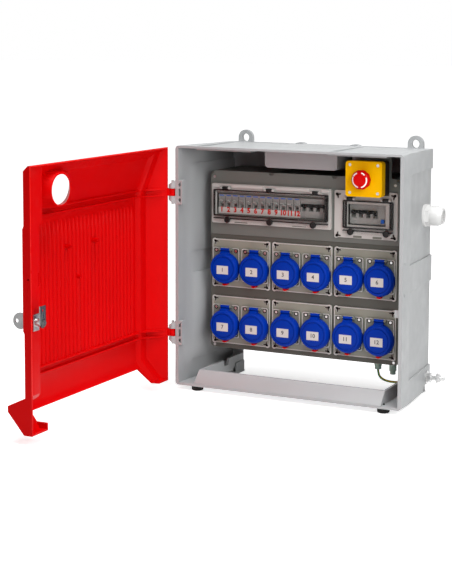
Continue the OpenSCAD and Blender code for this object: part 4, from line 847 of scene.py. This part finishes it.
class POWERBOX_OT_stop(bpy.types.Operator):
    """Stop box, and its mushroom with plain white turn marks"""
    bl_idname = "powerbox.stop"
    bl_label = "Stop box"

    def execute(self, context):
        # the base takes the dark recess finish: partly its own dark grey, partly painted shade beside
        # the stop box
        dressed("stop_base", "cabinet", "recess", sizes().edge)
        dressed("stop_cover", "cabinet", "yellow", sizes().edge * 1.6, 3)
        dressed("stop_stem", "stop_stem", "dark", sizes().fine_edge)
        r = np.linspace(DOME_RIM, DOME_TOP, 12)
        dome = np.stack((r, mushroom_height(r)), -1)
        below = [(0, 14.4), (8.3, 14.4), (8.3, 6.2), (14, 6.2), (19.6, 8.6), (21.3, 10.6),
                 (DOME_RIM, 12.6)]
        top = [(13.6, 24.2), (13.2, 23.7), (12.8, 23.7), (12.4, 24.3), (0, 24.5)]
        pts, faces = revolve(np.concatenate((below, dome, top)), 120,
                             lambda a, h: 0.02 * np.cos(10 * a) * np.clip((h - 7) / 4, 0, 1)
                             * np.clip((23 - h) / 6, 0, 1))
        head = new_piece("mushroom", (facing_front(pts, STOP_X, STOP_Y, STOP_Z), faces), "stop_head",
                         "stop_red", "red", smooth=40)
        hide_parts("stop_button")
        marks = [arc_mark(*span) for span in TURN_MARKS]
        new_piece("turn_marks", join(marks), "stop_head", "device_white", "white")
        return {"FINISHED"}


def mushroom_height(r):
    """Height of the mushroom's dome at a radius: a quarter ellipse from its flat top to the rim."""
    out = (np.asarray(r) - DOME_TOP) / (DOME_RIM - DOME_TOP)
    return 15 + 9.2 * np.sqrt(np.clip(1 - out ** 2, 0, 1))


def arc_mark(start, sweep):
    """One curved mark on the dome: a band between two radii over an angle, lifted off the surface."""
    a = np.radians(np.linspace(start, start + sweep, 20))[:, None]
    r = np.linspace(15.0, 17.8, 5)[None, :]
    h = mushroom_height(r)
    top = np.stack(np.broadcast_arrays(r * np.cos(a), r * np.sin(a), h + 0.25), -1)
    low = top - (0, 0, 0.7)
    rows, cols = top.shape[:2]
    pts = facing_front(np.stack((top, low)).reshape(-1, 3), STOP_X, STOP_Y, STOP_Z)
    faces = grid_faces(rows, cols)
    ring = np.concatenate((np.arange(cols), np.arange(1, rows) * cols + cols - 1,
                           (rows - 1) * cols + np.arange(cols - 2, -1, -1),
                           np.arange(rows - 2, 0, -1) * cols))
    nxt = np.roll(ring, -1)
    skirt = np.stack((ring, nxt, nxt + rows * cols, ring + rows * cols), -1)
    return pts, np.concatenate((faces, faces[:, ::-1] + rows * cols, skirt[:, ::-1]))


class POWERBOX_OT_glands(bpy.types.Operator):
    """White side gland, and the two small glands under the panel"""
    bl_idname = "powerbox.glands"
    bl_label = "Glands"

    def execute(self, context):
        dressed("side_gland", "cabinet", "gland", sizes().edge)
        dressed("bottom_glands", "cabinet", "green_gland", sizes().fine_edge * 1.5)
        return {"FINISHED"}


class POWERBOX_OT_earth(bpy.types.Operator):
    """Earth stud, and the green and yellow wire"""
    bl_idname = "powerbox.earth"
    bl_label = "Earth stud and wire"

    def execute(self, context):
        dressed("earth_stud", "cabinet", "zinc", sizes().fine_edge)
        pts, faces, uv = tube(smooth_path(WIRE_ROUTE), WIRE_R)
        wire = new_piece("earth_lead", (pts, faces), "cabinet", "wire_green", "wire", smooth=60, uv=uv)
        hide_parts("earth_wire")
        return {"FINISHED"}


class POWERBOX_OT_door(bpy.types.Operator):
    """Door moulding with rounded edges, and a lighter red strip along its top and free side, painted as
    the rim's highlight
    """
    bl_idname = "powerbox.door"
    bl_label = "Door"

    def execute(self, context):
        dressed("door", "door", "door", sizes().edge)
        lip = sizes().lip * 1000
        top = front_prism(rounded(DOOR_W - 1.0, lip, 0.6), DOOR_W / 2, DOOR_TOP - 0.5 - lip / 2,
                          1.0, 1.9)
        side = front_prism(rounded(lip, DOOR_TOP - DOOR_RIM_LOW, 0.6), DOOR_W - 0.4 - lip / 2,
                           (DOOR_TOP + DOOR_RIM_LOW) / 2, 1.0, 1.9)
        pts, faces = join([top, side])
        new_piece("door_rim", (on_door(*pts.T), faces), "door", "door_red", "lip", 0.0003)
        return {"FINISHED"}


class POWERBOX_OT_lock(bpy.types.Operator):
    """Lock barrel, cam and key"""
    bl_idname = "powerbox.lock"
    bl_label = "Lock"

    def execute(self, context):
        dressed("lock_body", "door", "zinc", sizes().fine_edge)
        dressed("lock_cam", "lock_turn", "nickel", sizes().fine_edge)
        return {"FINISHED"}


class POWERBOX_OT_stage(bpy.types.Operator):
    """White floor, soft lamps, world and camera"""
    bl_idname = "powerbox.stage"
    bl_label = "Stage"

    def execute(self, context):
        scene = bpy.context.scene
        scene.view_settings.view_transform = "Standard"
        make_floor(scene)
        make_world(scene)
        for name, where, size, watts in LAMPS:
            lamp(scene, name, where, size, watts)
        make_camera(scene)
        return {"FINISHED"}


def white_for_viewer(tree):
    """A factor that is 1 for camera, mirror and glass rays and 0 for all the rest."""
    path = tree.nodes.new("ShaderNodeLightPath")
    value = path.outputs["Is Camera Ray"]
    for ray in ("Is Glossy Ray", "Is Transmission Ray"):
        node = tree.nodes.new("ShaderNodeMath")
        node.operation = "MAXIMUM"
        tree.links.new(value, node.inputs[0])
        tree.links.new(path.outputs[ray], node.inputs[1])
        value = node.outputs["Value"]
    return value


def make_floor(scene):
    """A wide pale floor whose own glow hides all but the object's shadow."""
    mesh = bpy.data.meshes.new("floor")
    far = FLOOR_HALF
    corners = [(-far, -far, 0), (far, -far, 0), (far, far, 0), (-far, far, 0)]
    mesh.from_pydata(corners, [], [(0, 1, 2, 3)])
    floor = bpy.data.objects.new("floor", mesh)
    scene.collection.objects.link(floor)
    n = Nodes("floor_white")
    tree, lit = n.tree, n.shader.outputs["BSDF"]
    n.shader.inputs["Base Color"].default_value = (0.9, 0.9, 0.9, 1)
    n.shader.inputs["Roughness"].default_value = 0.9
    glow = tree.nodes.new("ShaderNodeEmission")
    glow.inputs["Color"].default_value = (1, 1, 1, 1)
    away = tree.nodes.new("ShaderNodeVectorMath")
    away.operation = "LENGTH"
    n.link(n.coords.outputs["Object"], away.inputs[0])
    n.link(n.spread(away.outputs["Value"], *GLOW, *GLOW_SPAN), glow.inputs["Strength"])
    add = tree.nodes.new("ShaderNodeAddShader")
    mix = tree.nodes.new("ShaderNodeMixShader")
    n.link(lit, add.inputs[0])
    n.link(glow.outputs["Emission"], add.inputs[1])
    n.link(white_for_viewer(tree), mix.inputs["Fac"])
    n.link(lit, mix.inputs[1])
    n.link(add.outputs["Shader"], mix.inputs[2])
    n.link(mix.outputs["Shader"], tree.nodes["Material Output"].inputs["Surface"])
    mesh.materials.append(n.material)


def make_world(scene):
    """White behind everything for the viewer, and a level grey-white light on the object."""
    world = bpy.data.worlds.new("studio")
    world.use_nodes = True
    scene.world = world
    tree = world.node_tree
    light = tree.nodes["Background"]
    light.inputs["Color"].default_value = (1, 1, 1, 1)
    light.inputs["Strength"].default_value = WORLD_LIGHT
    seen = tree.nodes.new("ShaderNodeBackground")
    seen.inputs["Color"].default_value = (1, 1, 1, 1)
    seen.inputs["Strength"].default_value = 1.0
    mix = tree.nodes.new("ShaderNodeMixShader")
    for value, socket in ((white_for_viewer(tree), mix.inputs["Fac"]),
                          (light.outputs["Background"], mix.inputs[1]),
                          (seen.outputs["Background"], mix.inputs[2]),
                          (mix.outputs["Shader"], tree.nodes["World Output"].inputs["Surface"])):
        tree.links.new(value, socket)


def lamp(scene, name, where, size, power):
    """A square soft lamp that looks at the middle of the cabinet."""
    data = bpy.data.lights.new(name, "AREA")
    data.energy = power
    data.size = size
    obj = bpy.data.objects.new(name, data)
    scene.collection.objects.link(obj)
    away = Vector(where) - Vector(LAMP_AIM)
    obj.location = where
    obj.rotation_euler = away.to_track_quat("Z", "Y").to_euler()


def make_camera(scene):
    """The camera from three angles: forward is (-sin yaw cos pitch, cos yaw cos pitch, -sin pitch),
    right is (cos yaw, sin yaw, 0), both rolled about forward."""
    yaw, pitch, roll = CAMERA_TURN
    forward = np.array((-math.sin(yaw) * math.cos(pitch), math.cos(yaw) * math.cos(pitch),
                        -math.sin(pitch)))
    right = np.array((math.cos(yaw), math.sin(yaw), 0.0))
    down = np.cross(forward, right)
    right, down = (math.cos(roll) * right + math.sin(roll) * down,
                   -math.sin(roll) * right + math.cos(roll) * down)
    data = bpy.data.cameras.new("camera")
    data.lens = CAMERA_LENS
    data.sensor_width = 36.0
    data.shift_x, data.shift_y = CAMERA_SHIFT
    data.clip_end = 60.0
    camera = bpy.data.objects.new("camera", data)
    scene.collection.objects.link(camera)
    matrix = Matrix(np.column_stack((right, -down, -forward)).tolist()).to_4x4()
    matrix.translation = CAMERA_AT
    camera.matrix_world = matrix
    scene.camera = camera


class POWERBOX_PT_panel(bpy.types.Panel):
    """Colours, sizes and one button for each group of pieces"""
    bl_label = "Power box"
    bl_idname = "POWERBOX_PT_panel"
    bl_space_type = "VIEW_3D"
    bl_region_type = "UI"
    bl_category = "Power box"

    def draw(self, context):
        for group in (context.scene.powerbox_colours, context.scene.powerbox_sizes):
            for name in group.__annotations__:
                self.layout.prop(group, name)
        for maker in MAKERS:
            self.layout.operator(maker.bl_idname)


MAKERS = (POWERBOX_OT_stage, POWERBOX_OT_cabinet, POWERBOX_OT_small_metal, POWERBOX_OT_feet,
          POWERBOX_OT_panel, POWERBOX_OT_sockets, POWERBOX_OT_lids, POWERBOX_OT_breakers,
          POWERBOX_OT_levers, POWERBOX_OT_windows, POWERBOX_OT_knobs, POWERBOX_OT_stop,
          POWERBOX_OT_glands, POWERBOX_OT_earth, POWERBOX_OT_door, POWERBOX_OT_lock)
CLASSES = (PowerBoxColours, PowerBoxSizes, *MAKERS, POWERBOX_PT_panel)


def register():
    for cls in CLASSES:
        bpy.utils.register_class(cls)
    bpy.types.Scene.powerbox_colours = bpy.props.PointerProperty(type=PowerBoxColours)
    bpy.types.Scene.powerbox_sizes = bpy.props.PointerProperty(type=PowerBoxSizes)


def unregister():
    del bpy.types.Scene.powerbox_sizes
    del bpy.types.Scene.powerbox_colours
    for cls in reversed(CLASSES):
        bpy.utils.unregister_class(cls)


def main():
    register()
    for maker in MAKERS:
        group, name = maker.bl_idname.split(".")
        getattr(getattr(bpy.ops, group), name)()


if __name__ == "__main__":
    main()
